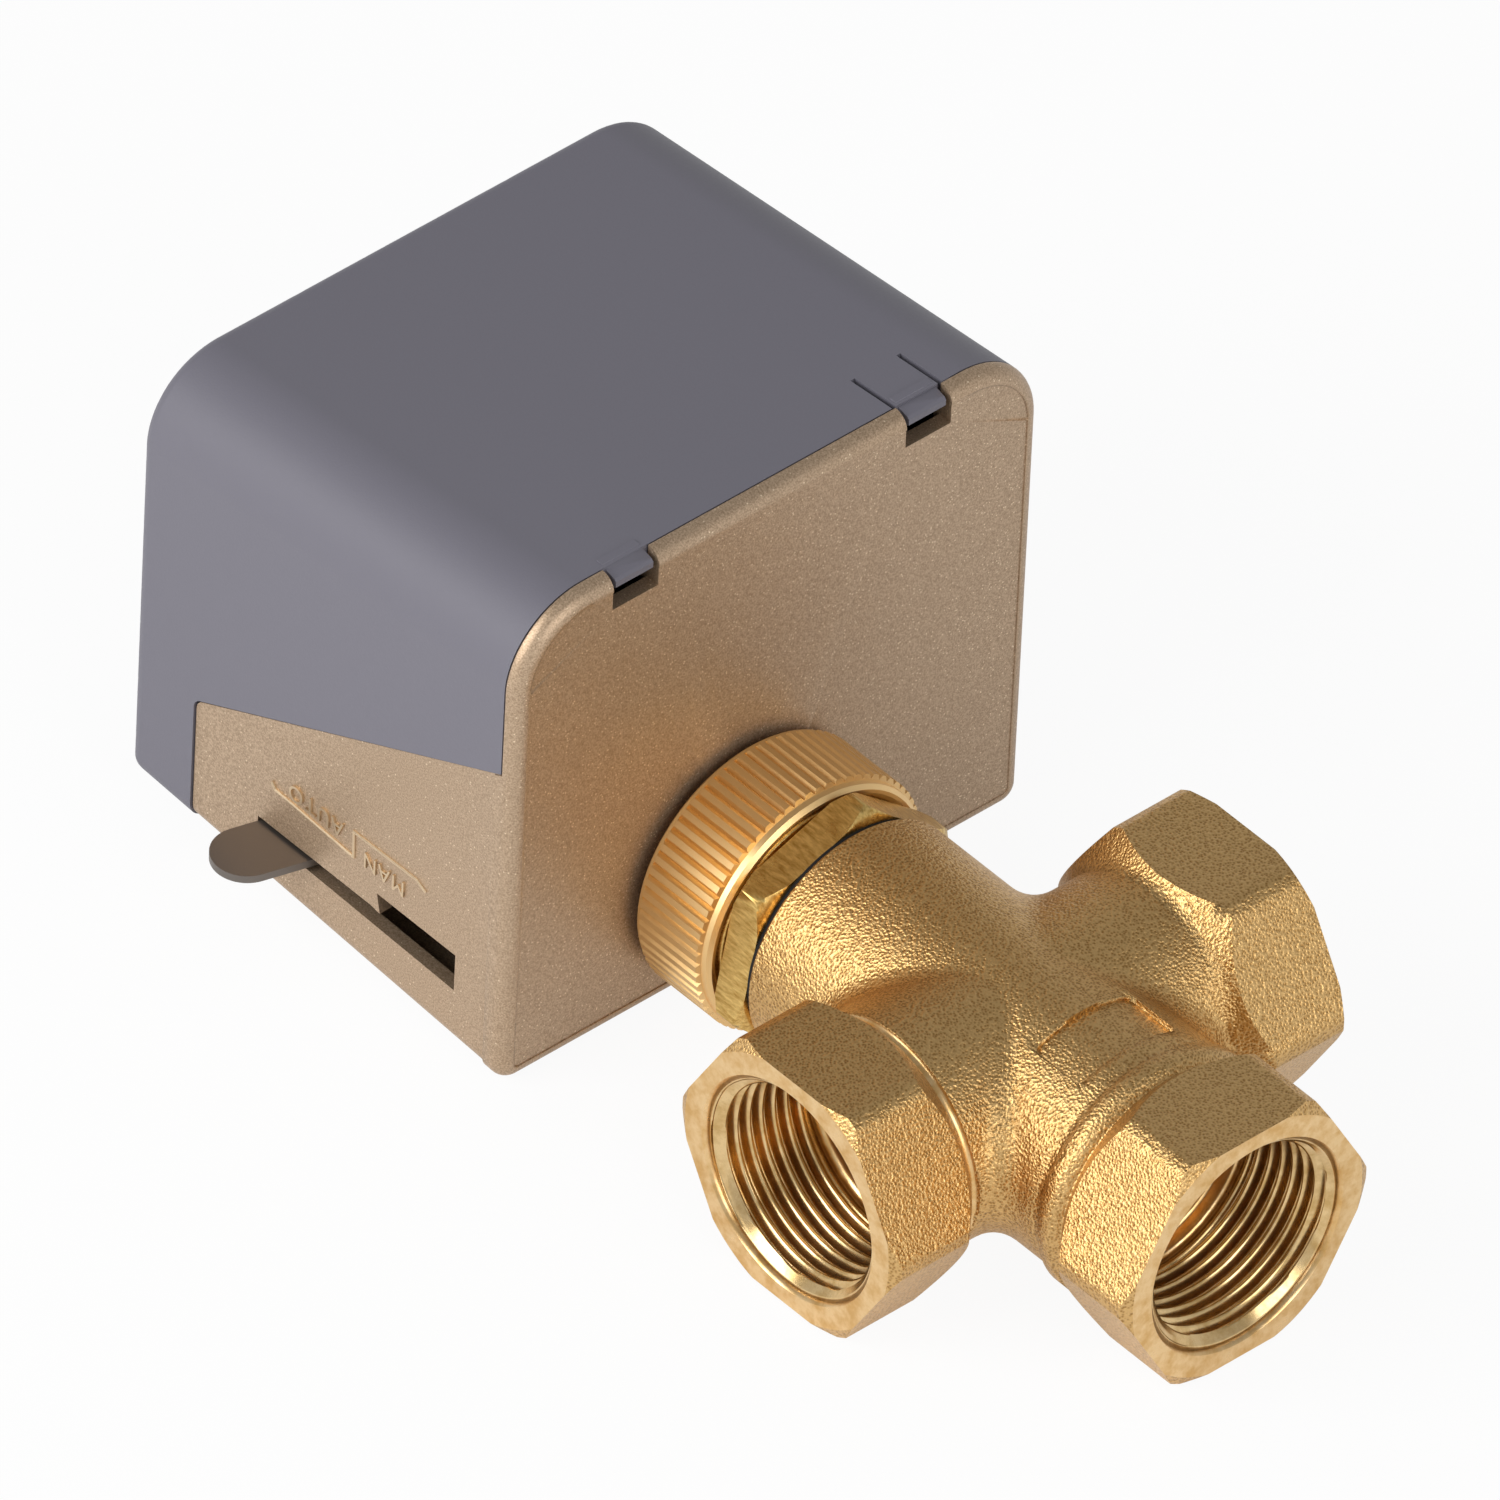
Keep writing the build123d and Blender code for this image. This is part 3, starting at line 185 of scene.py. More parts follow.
def vary_roughness(tree, shader, factor, start, end):
    """A shader's roughness from start, where a factor is 0, to end, where it is 1."""
    mapped = add_node(tree, "ShaderNodeMapRange", links={"Value": factor},
                      values={"To Min": start, "To Max": end})
    tree.links.new(mapped.outputs["Result"], shader.inputs["Roughness"])


def relief(tree, shader, height, strength, depth_mm, below=None):
    """A bump of a real depth on a shader, optionally over another one; returns its normal."""
    links = {"Height": height}
    if below is not None:
        links["Normal"] = below
    node = add_node(tree, "ShaderNodeBump", links=links,
                    values={"Strength": strength, "Distance": depth_mm * MM})
    tree.links.new(node.outputs["Normal"], shader.inputs["Normal"])
    return node.outputs["Normal"]


def blasted_brass(look):
    """Forged brass blasted with grit: dull gold, small craters, with painted shade in the craters and a
    painted highlight on their rims.
    """
    tree, shader = new_material("blasted brass", metallic=1.0)
    place = add_node(tree, "ShaderNodeTexCoord")
    craters = add_node(tree, "ShaderNodeTexVoronoi", links={"Vector": place.outputs["Object"]},
                       values={"Scale": 1 / look.crater})
    from_middle = craters.outputs["Distance"]
    pits = grain(tree, 0.5, detail=3.0, roughness=0.65)
    # the colour goes from dark in each crater's middle to light at its rim: painted shade in the craters and
    # a painted highlight on the rims
    colour = tones(tree, from_middle, look.brass_crater_shade, look.brass_rim_highlight, start=0.15, end=0.6)
    tree.links.new(colour, shader.inputs["Base Color"])
    vary_roughness(tree, shader, pits, 0.42, 0.26)
    uneven = relief(tree, shader, pits, strength=0.6, depth_mm=0.2)
    relief(tree, shader, from_middle, strength=1.0, depth_mm=0.095, below=uneven)


def turned_brass(name, dark, light, mark_mm, strength, roughness):
    """Brass cut on a lathe: bright, a little stained, with tool marks coarser than the real feed, to show."""
    tree, shader = new_material(name, metallic=1.0)
    marks = grain(tree, mark_mm, detail=1.0)
    stain = grain(tree, 2.5, detail=4.0, roughness=0.65)
    tree.links.new(tones(tree, stain, dark, light, start=0.35, end=0.6), shader.inputs["Base Color"])
    vary_roughness(tree, shader, stain, roughness + 0.1, roughness)
    relief(tree, shader, marks, strength, depth_mm=0.02)


def milled_brass(look):
    """Milled hexagon flats: greenish yellow brass with cutter streaks, four times as long along the stem."""
    tree, shader = new_material("milled brass", metallic=1.0)
    streaks = grain(tree, 0.5, detail=3.0, roughness=0.7, stretch=(0.25, 1, 1))
    stain = grain(tree, 3.0, detail=3.0)
    colour = tones(tree, streaks, look.milled_dark, look.milled_light, start=0.3, end=0.65)
    tree.links.new(colour, shader.inputs["Base Color"])
    vary_roughness(tree, shader, stain, 0.2, 0.38)
    relief(tree, shader, streaks, strength=0.25, depth_mm=0.03)


def champagne_lacquer(look):
    """Die-cast metal under a champagne lacquer: a fine even grain, and here and there a bright flake."""
    tree, shader = new_material("champagne lacquer", metallic=0.72)
    place = add_node(tree, "ShaderNodeTexCoord")
    cells = add_node(tree, "ShaderNodeTexVoronoi", links={"Vector": place.outputs["Object"]},
                     values={"Scale": 1 / look.flake_cell})
    chance = add_node(tree, "ShaderNodeSeparateColor", links={"Color": cells.outputs["Color"]})
    near = add_node(tree, "ShaderNodeMath", operation="LESS_THAN", links={0: cells.outputs["Distance"]},
                    values={1: look.flake_radius / look.flake_cell})
    rare = add_node(tree, "ShaderNodeMath", operation="GREATER_THAN", links={0: chance.outputs["Red"]},
                    values={1: 1 - look.flake_share})
    flake = add_node(tree, "ShaderNodeMath", operation="MULTIPLY",
                     links={0: near.outputs[0], 1: rare.outputs[0]})
    spots = grain(tree, 0.2, detail=2.0, roughness=0.6)
    base = tones(tree, spots, look.lacquer_dark, look.lacquer_light, start=0.32, end=0.68)
    shown = add_node(tree, "ShaderNodeMix", data_type="RGBA", links={0: flake.outputs[0], 6: base},
                     values={7: linear(look.flake)})
    tree.links.new(shown.outputs[2], shader.inputs["Base Color"])
    vary_roughness(tree, shader, spots, 0.4, 0.5)
    shader.inputs["Coat Weight"].default_value = 0.12
    shader.inputs["Coat Roughness"].default_value = 0.3
    relief(tree, shader, spots, strength=0.5, depth_mm=0.06)


def plain(name, colour, metallic=0.0, roughness=0.5, grain_mm=0.0, strength=0.0):
    """A finish of one colour. Its grain, if any, is 0.3 mm wide or more, as the real one wouldn't show."""
    tree, shader = new_material(name, metallic)
    shader.inputs["Base Color"].default_value = linear(colour)
    shader.inputs["Roughness"].default_value = roughness
    if strength:
        spots = grain(tree, grain_mm)
        vary_roughness(tree, shader, spots, roughness - 0.06, roughness + 0.06)
        relief(tree, shader, spots, strength, depth_mm=0.02)


def make_finishes(look):
    """Every finish of the valve; each puts its material in the file under its own name."""
    blasted_brass(look)
    milled_brass(look)
    champagne_lacquer(look)
    turned_brass("turned brass", look.cut_dark, look.cut_light, mark_mm=0.25, strength=0.12, roughness=0.24)
    # cut by a tap, brighter than the turned faces
    turned_brass("thread brass", look.thread_dark, look.thread_light, mark_mm=0.4, strength=0.1,
                 roughness=0.16)
    # rolled, not cut: satin and slightly pink
    plain("knurled brass", look.knurl, metallic=1.0, roughness=0.38, grain_mm=0.5, strength=0.1)
    # the words' raised faces, painted brighter than the lacquer round them: a painted highlight
    plain("lacquer with painted highlight", look.word_painted_highlight, metallic=0.9, roughness=0.32, grain_mm=0.3, strength=0.1)
    # filled ABS from a sparked mould: matt, with a fine even grain
    plain("grey moulded cover", look.cover, roughness=0.48, grain_mm=0.3, strength=0.8)
    # painted pressing: dull, brown-grey
    plain("pressed lever steel", "7C756F", metallic=0.85, roughness=0.4, grain_mm=0.4, strength=0.15)
    # thin bright plating: pale, softly shining
    plain("zinc-plated steel", "B9BCBE", metallic=1.0, roughness=0.32, grain_mm=0.6, strength=0.1)
    # ground and polished rod: sharp reflections
    plain("polished stainless steel", "C9C8C4", metallic=1.0, roughness=0.16)
    # drawn wire: dark and smooth
    plain("spring steel", "7A7B7C", metallic=1.0, roughness=0.3)
    # undyed, waxy and milky white
    plain("natural nylon", "DDD8C8", roughness=0.42)
    # black and dull
    plain("seal rubber", "1B1B1C", roughness=0.6, grain_mm=0.3, strength=0.1)
    # pressed fibre, black and without shine
    plain("gasket fibre", "131211", roughness=0.85)
    # filled polyamide: black with a faint grain
    plain("black moulding", "202022", roughness=0.45, grain_mm=0.4, strength=0.2)


def finish_named(name):
    """A finish that the finishes operator made."""
    material = bpy.data.materials.get(name)
    if material is None:
        raise RuntimeError(f"the finish {name!r} is made first")
    return material


def smooth_copy(node, body):
    """A merged copy of a CAD node with smooth faces and its real edges kept sharp, in place of the node."""
    mesh = bmesh.new()
    mesh.from_mesh(frame["nodes"][node].data)
    bmesh.ops.remove_doubles(mesh, verts=mesh.verts, dist=WELD_GAP)
    bmesh.ops.dissolve_degenerate(mesh, edges=mesh.edges, dist=SLIVER)
    data = bpy.data.meshes.new(f"{node}_shell")
    mesh.to_mesh(data)
    mesh.free()
    data.materials.clear()
    data.shade_smooth()
    data.set_sharp_from_angle(angle=SMOOTH_ANGLE)
    shell = bpy.data.objects.new(f"{node}_shell", data)
    bpy.context.scene.collection.objects.link(shell)
    # large flat faces keep their own normal beside small rounded edges
    weighted = shell.modifiers.new("weighted normals", "WEIGHTED_NORMAL")
    weighted.keep_sharp = True
    weighted.weight = 100
    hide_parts(node)
    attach(shell, body)
    return shell


def mesh_piece(name, vertices, faces, body, finish, smooth=True):
    """A closed mesh from arrays, with its faces turned outwards, riding on a CAD body with a finish."""
    data = bpy.data.meshes.new(name)
    data.from_pydata(vertices, [], faces)
    data.validate()
    if smooth:
        data.shade_smooth()
    data.materials.append(finish_named(finish))
    mesh = bmesh.new()
    mesh.from_mesh(data)
    bmesh.ops.recalc_face_normals(mesh, faces=mesh.faces)
    mesh.to_mesh(data)
    mesh.free()
    piece = bpy.data.objects.new(name, data)
    bpy.context.scene.collection.objects.link(piece)
    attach(piece, body)
    return piece


def tube_faces(rows, columns):
    """Quads of a grid of rows whose columns close on themselves."""
    r, c = np.meshgrid(np.arange(rows - 1), np.arange(columns), indexing="ij")
    beside = (c + 1) % columns
    corners = [r * columns + c, r * columns + beside, (r + 1) * columns + beside, (r + 1) * columns + c]
    return np.stack(corners, axis=-1).reshape(-1, 4)


def port_axes(mount):
    """A port's mouth, where its axis leaves the body's box, and its directions, two across and one out."""
    axis = Vector(mount["axis"]).normalized()
    across = Vector((0, 0, 1)).cross(axis).normalized()
    low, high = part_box("valve_body")
    start = Vector(mount["pos_m"])
    mouth = start + axis * (max(axis.dot(low), axis.dot(high)) - axis.dot(start))
    return np.array(mouth), np.array(across), np.array(axis.cross(across)), np.array(axis)


class ValveFinishSettings(bpy.types.PropertyGroup):
    # the blasted brass's two tones: painted shade in the craters and a painted highlight on their rims
    brass_crater_shade: bpy.props.StringProperty(
        name="Blasted brass, dark", description="Tone in the body's craters, sRGB hex", default="AA8048")
    brass_rim_highlight: bpy.props.StringProperty(
        name="Blasted brass, light", description="Tone on their rims, sRGB hex", default="DFB77A")
    crater: bpy.props.FloatProperty(
        name="Crater", description="Width of a blasted crater, coarser than the grit's usual 0.2 mm, to show",
        default=0.36 * MM, unit="LENGTH")
    cut_dark: bpy.props.StringProperty(
        name="Cut brass, dark", description="Stained tone of the turned brass, sRGB hex", default="DDB06E")
    cut_light: bpy.props.StringProperty(
        name="Cut brass, light", description="Clean tone of the turned brass, sRGB hex", default="F3D09A")
    milled_dark: bpy.props.StringProperty(
        name="Milled brass, dark", description="Dark streaks of the bonnet's hexagon, sRGB hex",
        default="B88F48")
    milled_light: bpy.props.StringProperty(
        name="Milled brass, light", description="Light streaks of the bonnet's hexagon, sRGB hex",
        default="F0CE82")
    thread_dark: bpy.props.StringProperty(
        name="Thread brass, dark", description="Stained tone of the cut threads, sRGB hex", default="CFAB70")
    thread_light: bpy.props.StringProperty(
        name="Thread brass, light", description="Clean tone of the cut threads, sRGB hex", default="EACB96")
    knurl: bpy.props.StringProperty(
        name="Knurled brass", description="Tone of the coupling nut, sRGB hex", default="F3CE92")
    lacquer_dark: bpy.props.StringProperty(
        name="Lacquer, dark", description="Darker grain of the lacquer, sRGB hex", default="A0876C")
    lacquer_light: bpy.props.StringProperty(
        name="Lacquer, light", description="Lighter grain of the lacquer, sRGB hex", default="CEB498")
    flake: bpy.props.StringProperty(
        name="Flake", description="Bright flakes in the lacquer, sRGB hex", default="EAD6B8")
    flake_cell: bpy.props.FloatProperty(
        name="Flake cell", description="Width of a cell that may hold a flake", default=0.55 * MM,
        unit="LENGTH")
    flake_radius: bpy.props.FloatProperty(
        name="Flake radius", description="Half a flake's width, twice as large as the real one, to show",
        default=0.1 * MM, unit="LENGTH")
    flake_share: bpy.props.FloatProperty(
        name="Flake share", description="Part of the cells that hold a flake", default=0.22)
    # tone of the words' raised faces: a painted highlight on them
    word_painted_highlight: bpy.props.StringProperty(
        name="Lacquer with painted highlight", description="Tone of the words' raised faces, sRGB hex", default="DCC4A2")
    cover: bpy.props.StringProperty(
        name="Cover", description="Tone of the moulded cover, sRGB hex", default="6E6C76")
    mouth_depth: bpy.props.FloatProperty(
        name="Mouth depth", description="How far behind a port's mouth plane a face still counts as its face",
        default=0.15 * MM, unit="LENGTH")
    mouth_radius: bpy.props.FloatProperty(
        name="Mouth radius", description="How far from a port's axis the turned mouth may reach",
        default=20 * MM, unit="LENGTH")
    bore_depth: bpy.props.FloatProperty(
        name="Bore depth", description="How deep the turned finish goes into a port", default=17 * MM,
        unit="LENGTH")
    bore_margin: bpy.props.FloatProperty(
        name="Bore margin", description="How far round and in front of the bore a face still belongs to it",
        default=1 * MM, unit="LENGTH")


class ValveThreadSettings(bpy.types.PropertyGroup):
    pitch: bpy.props.FloatProperty(
        name="Pitch", description="Thread pitch of 14 turns an inch", default=25.4 / 14 * MM, unit="LENGTH")
    minor_radius: bpy.props.FloatProperty(
        name="Minor radius", description="Radius over the thread's crests", default=12.06 * MM, unit="LENGTH")
    length: bpy.props.FloatProperty(
        name="Length", description="Threaded depth of a port", default=14.3 * MM, unit="LENGTH")
    lead: bpy.props.FloatProperty(
        name="Lead", description="Depth in the mouth chamfer where the thread starts", default=0.66 * MM,
        unit="LENGTH")
    run_out: bpy.props.FloatProperty(
        name="Run-out", description="Length over which the tap leaves the wall", default=1.4 * MM,
        unit="LENGTH")
    skin: bpy.props.FloatProperty(
        name="Skin", description="How far the thread's root stands off the bore", default=0.02 * MM,
        unit="LENGTH")
    sunk: bpy.props.FloatProperty(
        name="Sunk", description="How deep the sleeve's outside lies in the bore's wall", default=0.08 * MM,
        unit="LENGTH")
    steepness: bpy.props.FloatProperty(
        name="Steepness", description="How much steeper the flanks are than an even V's", default=1.25)
    rounding: bpy.props.FloatProperty(
        name="Rounding", description="How far the V is eased towards a smooth wave", default=0.35)
    rows_per_turn: bpy.props.IntProperty(name="Rows per turn", description="Grid rows per pitch", default=16)
    columns: bpy.props.IntProperty(name="Columns", description="Grid columns round a port", default=180)


class ValveWordSettings(bpy.types.PropertyGroup):
    first: bpy.props.StringProperty(name="First word", description="At the lever's rest end", default="AUTO")
    first_place: bpy.props.FloatVectorProperty(
        name="First word's place", description="Where it starts: X from the end port's mouth, and Z", size=2,
        default=(-110.6 * MM, 3.75 * MM), unit="LENGTH")
    first_size: bpy.props.FloatVectorProperty(
        name="First word's size", description="Its length and its letters' height", size=2,
        default=(9.0 * MM, 2.2 * MM), unit="LENGTH")
    second: bpy.props.StringProperty(name="Second word", description="At the lever's open end", default="MAN")
    second_place: bpy.props.FloatVectorProperty(
        name="Second word's place", description="Where it starts: X from the end port's mouth, and Z", size=2,
        default=(-100.5 * MM, 2.2 * MM), unit="LENGTH")
    second_size: bpy.props.FloatVectorProperty(
        name="Second word's size", description="Its length and its letters' height", size=2,
        default=(6.5 * MM, 2.1 * MM), unit="LENGTH")
    spacing: bpy.props.FloatProperty(
        name="Spacing", description="Letter spacing against the font's own", default=1.15)
    height: bpy.props.FloatProperty(
        name="Height", description="How far the words stand proud", default=0.3 * MM, unit="LENGTH")
    panel_in: bpy.props.FloatProperty(
        name="Panel step", description="How far the side panel lies inside the casting's box",
        default=0.35 * MM, unit="LENGTH")
    line_width: bpy.props.FloatProperty(
        name="Line width", description="Width of the raised line", default=0.32 * MM, unit="LENGTH")


class ValveStageSettings(bpy.types.PropertyGroup):
    floor: bpy.props.StringProperty(name="Floor", description="Tone of the floor, sRGB hex", default="F4F4F4")
    floor_seen: bpy.props.FloatProperty(
        name="Floor seen", description="How white the floor shows to the camera; the rest shows shadow",
        default=0.93)
    floor_in_metal: bpy.props.FloatProperty(
        name="Floor in metal", description="How white the floor shows in the metal", default=0.45)
    key_power: bpy.props.FloatProperty(
        name="Key", description="Power of the large soft light", default=9.0, unit="POWER")
    fill_power: bpy.props.FloatProperty(
        name="Fill", description="Power of the second light", default=3.0, unit="POWER")
    ambient: bpy.props.FloatProperty(name="Ambient", description="Strength of the room's light", default=0.62)


class OBJECT_OT_valve_finishes(bpy.types.Operator):
    """Makes the finishes and puts them on the CAD pieces, with machined faces at the ports"""
    bl_idname = "object.valve_finishes"
    bl_label = "Finishes"

    def execute(self, context):
        look = context.scene.valve_finish_settings
        make_finishes(look)
        for node, finish in NODE_FINISHES.items():
            if node not in frame["nodes"]:
                raise RuntimeError(f"the frame has no node {node!r}")
            piece = smooth_copy(node, BODY_OF[node]) if node in SMOOTHED else frame["nodes"][node]
            piece.data.materials.clear()
            piece.data.materials.append(finish_named(finish))
            if node == "valve_body":
                self.machine_ports(piece.data, look)
        return {"FINISHED"}

    def machine_ports(self, data, look):
        """Gives the turned finish, as the second slot, to the faces on a port's mouth and in its bore."""
        data.materials.append(finish_named("turned brass"))
        count = len(data.polygons)
        centres = np.empty(count * 3)
        normals = np.empty(count * 3)
        data.polygons.foreach_get("center", centres)
        data.polygons.foreach_get("normal", normals)
        centres, normals = centres.reshape(-1, 3), normals.reshape(-1, 3)
        slots = np.zeros(count, dtype=np.int32)
        for mount in PORTS.values():
            mouth, _, _, axis = port_axes(mount)
            away = (centres - mouth) @ axis
            radial = np.linalg.norm((centres - mouth) - np.outer(away, axis), axis=1)
            faces_out = normals @ axis > 0.9
            on_mouth = (away > -look.mouth_depth) & (radial < look.mouth_radius) & faces_out
            in_reach = (away > -look.bore_depth) & (away < look.bore_margin)
            in_bore = in_reach & (radial < mount["dims"]["r_mm"] * MM + look.bore_margin)
            slots[on_mouth | in_bore] = 1
        data.polygons.foreach_set("material_index", slots)


class OBJECT_OT_valve_spring(bpy.types.Operator):
    """Shows the valve's spring as a smooth copy with its finish, on a mesh of its own, riding on the bonnet's
    body
    """
    bl_idname = "object.valve_spring"
    bl_label = "Valve spring"

    def execute(self, context):
        spring = smooth_copy("valve_spring", BODY_OF["bonnet"])
        spring.data.materials.append(finish_named(NODE_FINISHES["valve_spring"]))
        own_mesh(spring)
        return {"FINISHED"}


class OBJECT_OT_valve_threads(bpy.types.Operator):
    """Lines the three ports with their pipe threads"""
    bl_idname = "object.valve_threads"
    bl_label = "Pipe threads"

    def execute(self, context):
        size = context.scene.valve_thread_settings
        for name, mount in PORTS.items():
            self.line_port(name, mount, size)
        return {"FINISHED"}

    def line_port(self, name, mount, size):
        """A closed sleeve, whose outside is sunk in the wall of the bore. Its inner radius at depth s and
        angle a is the larger of the thread's and the 45 degree lead-in cone's, and near the far end it fades
        to the root radius, as a tap's run-out does."""
        mouth, across, up, axis = port_axes(mount)
        bore = mount["dims"]["r_mm"] * MM
        root = bore - size.skin
        rows = int(size.length / size.pitch * size.rows_per_turn)
        depth = np.linspace(size.lead, size.length, rows)[:, None]
        angle = np.linspace(0, 2 * math.pi, size.columns, endpoint=False)[None, :]
        cone = root - (depth - size.lead)
        radius = np.maximum(self.thread_radius(depth, angle, root, size), cone)
        fade = np.clip((size.length - depth) / size.run_out, 0, 1)
        radius = root - (root - radius) * fade
        outside = np.full((2, size.columns), bore + size.sunk)
        radius = np.vstack([radius, outside])
        depth = np.vstack([depth, [[size.length]], [[size.lead]]])
        points = mouth + (radius * np.cos(angle))[..., None] * across
        points += (radius * np.sin(angle))[..., None] * up - (depth * np.ones_like(angle))[..., None] * axis
        total = rows + len(outside)
        first, last = np.arange(size.columns), (total - 1) * size.columns + np.arange(size.columns)
        closing = np.stack([last, np.roll(last, -1), np.roll(first, -1), first], axis=-1)
        faces = np.vstack([tube_faces(total, size.columns), closing])
        piece = mesh_piece(f"{name}_thread", points.reshape(-1, 3).tolist(), faces.tolist(),
                           BODY_OF["valve_body"], "thread brass")
        piece.data.set_sharp_from_angle(angle=THREAD_CREASE)

    def thread_radius(self, depth, angle, root, size):
        """The radius of the thread at depth s and angle a. With the phase p = -s / pitch - a / 2 pi, cut to
        its fraction, |2 p - 1| is an even V from 0 at a crest to 1 at a root. It is made steeper about its
        middle and cut off at 0 and 1, then eased towards the smooth step 3 w^2 - 2 w^3."""
        phase = (-depth / size.pitch - angle / (2 * math.pi)) % 1.0
        wave = np.clip(0.5 + (np.abs(2 * phase - 1) - 0.5) * size.steepness, 0, 1)
        eased = wave * wave * (3 - 2 * wave)
        wave += (eased - wave) * size.rounding
        return size.minor_radius + (root - size.minor_radius) * wave


class OBJECT_OT_valve_words(bpy.types.Operator):
    """Raises the words and the indicator line over the lever's slot"""
    bl_idname = "object.valve_words"
    bl_label = "Raised words"

    def execute(self, context):
        size = context.scene.valve_word_settings
        panel_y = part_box("base_casting")[0].y + size.panel_in
        mouth_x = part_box("valve_body")[1].x
        for name, text, place, extent in (("word_auto", size.first, size.first_place, size.first_size),
                                          ("word_man", size.second, size.second_place, size.second_size)):
            start = np.array((mouth_x + place[0], panel_y, place[1]))
            self.word(name, text, start, extent, size)
        self.line(mouth_x, panel_y, size)
        return {"FINISHED"}

    def word(self, name, text, start, extent, size):
        """A word as a mesh, fitted to its length and height from its start, half sunk in the panel."""
        curve = bpy.data.curves.new(name, "FONT")
        curve.body = text
        # any thickness does, because the word is fitted to its real one below
        curve.extrude = 0.5
        curve.space_character = size.spacing
        made = bpy.data.objects.new(name, curve)
        bpy.context.scene.collection.objects.link(made)
        bpy.context.view_layer.update()
        data = bpy.data.meshes.new_from_object(made.evaluated_get(bpy.context.evaluated_depsgraph_get()))
        bpy.data.objects.remove(made)
        data.name = name
        points = np.empty(len(data.vertices) * 3)
        data.vertices.foreach_get("co", points)
        points = points.reshape(-1, 3)
        low, high = points.min(0), points.max(0)
        points = (points - low) / (high - low) * np.array([extent[0], extent[1], 2 * size.height])
        points[:, 2] -= size.height
        # the words are read with the actuator's floor upwards: right is -X, up is -Z and proud is -Y
        turn = np.array([(-1, 0, 0), (0, 0, -1), (0, -1, 0)])
        data.vertices.foreach_set("co", (points @ turn.T + start).ravel())
        data.update()
        # the lighter finish is a painted highlight on the letters' raised faces
        data.materials.append(finish_named("lacquer with painted highlight"))
        piece = bpy.data.objects.new(name, data)
        bpy.context.scene.collection.objects.link(piece)
        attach(piece, BODY_OF["base_casting"])

    def line(self, mouth_x, panel_y, size):
        """A low ridge carried along the indicator line. At each corner its profile stands on the bisector of
        the two stretches, wider by one over the cosine of half the turn."""
        # corners in X from the end port's mouth and Z, in mm: hook, long run, step up, second run, hook
        corners = [(-122.6, 1.8), (-122.0, 1.0), (-108.9, 0.2), (-109.0, 3.8), (-98.5, 4.0), (-97.0, 3.2)]
        # profile in half widths across and heights inwards: foot, shoulder, crown, shoulder, foot
        profile = [(-1, 0.3), (-1, -0.5), (-0.4, -1), (0.4, -1), (1, -0.5), (1, 0.3)]
        least_cosine = 0.5
        path = np.array(corners) * MM
        step = np.diff(path, axis=0)
        step /= np.linalg.norm(step, axis=1)[:, None]
        before, after = np.vstack([step[:1], step]), np.vstack([step, step[-1:]])
        middle = before + after
        middle /= np.linalg.norm(middle, axis=1)[:, None]
        cosine = np.maximum(np.sum(middle * before, axis=1), least_cosine)
        across = np.stack([-middle[:, 1], middle[:, 0]], axis=1) / cosine[:, None] * size.line_width / 2
        rings = [np.column_stack([mouth_x + path[:, 0] + across[:, 0] * side,
                                  np.full(len(path), panel_y + drop * size.height),
                                  path[:, 1] + across[:, 1] * side]) for side, drop in profile]
        points = np.stack(rings, axis=1).reshape(-1, 3)
        columns = len(profile)
        faces = tube_faces(len(path), columns).tolist()
        faces += [list(range(columns)), list(range((len(path) - 1) * columns, len(path) * columns))]
        # the lighter finish is a painted highlight on the line's raised faces
        mesh_piece("indicator_line", points.tolist(), faces, BODY_OF["base_casting"], "lacquer with painted highlight",
                   smooth=False)


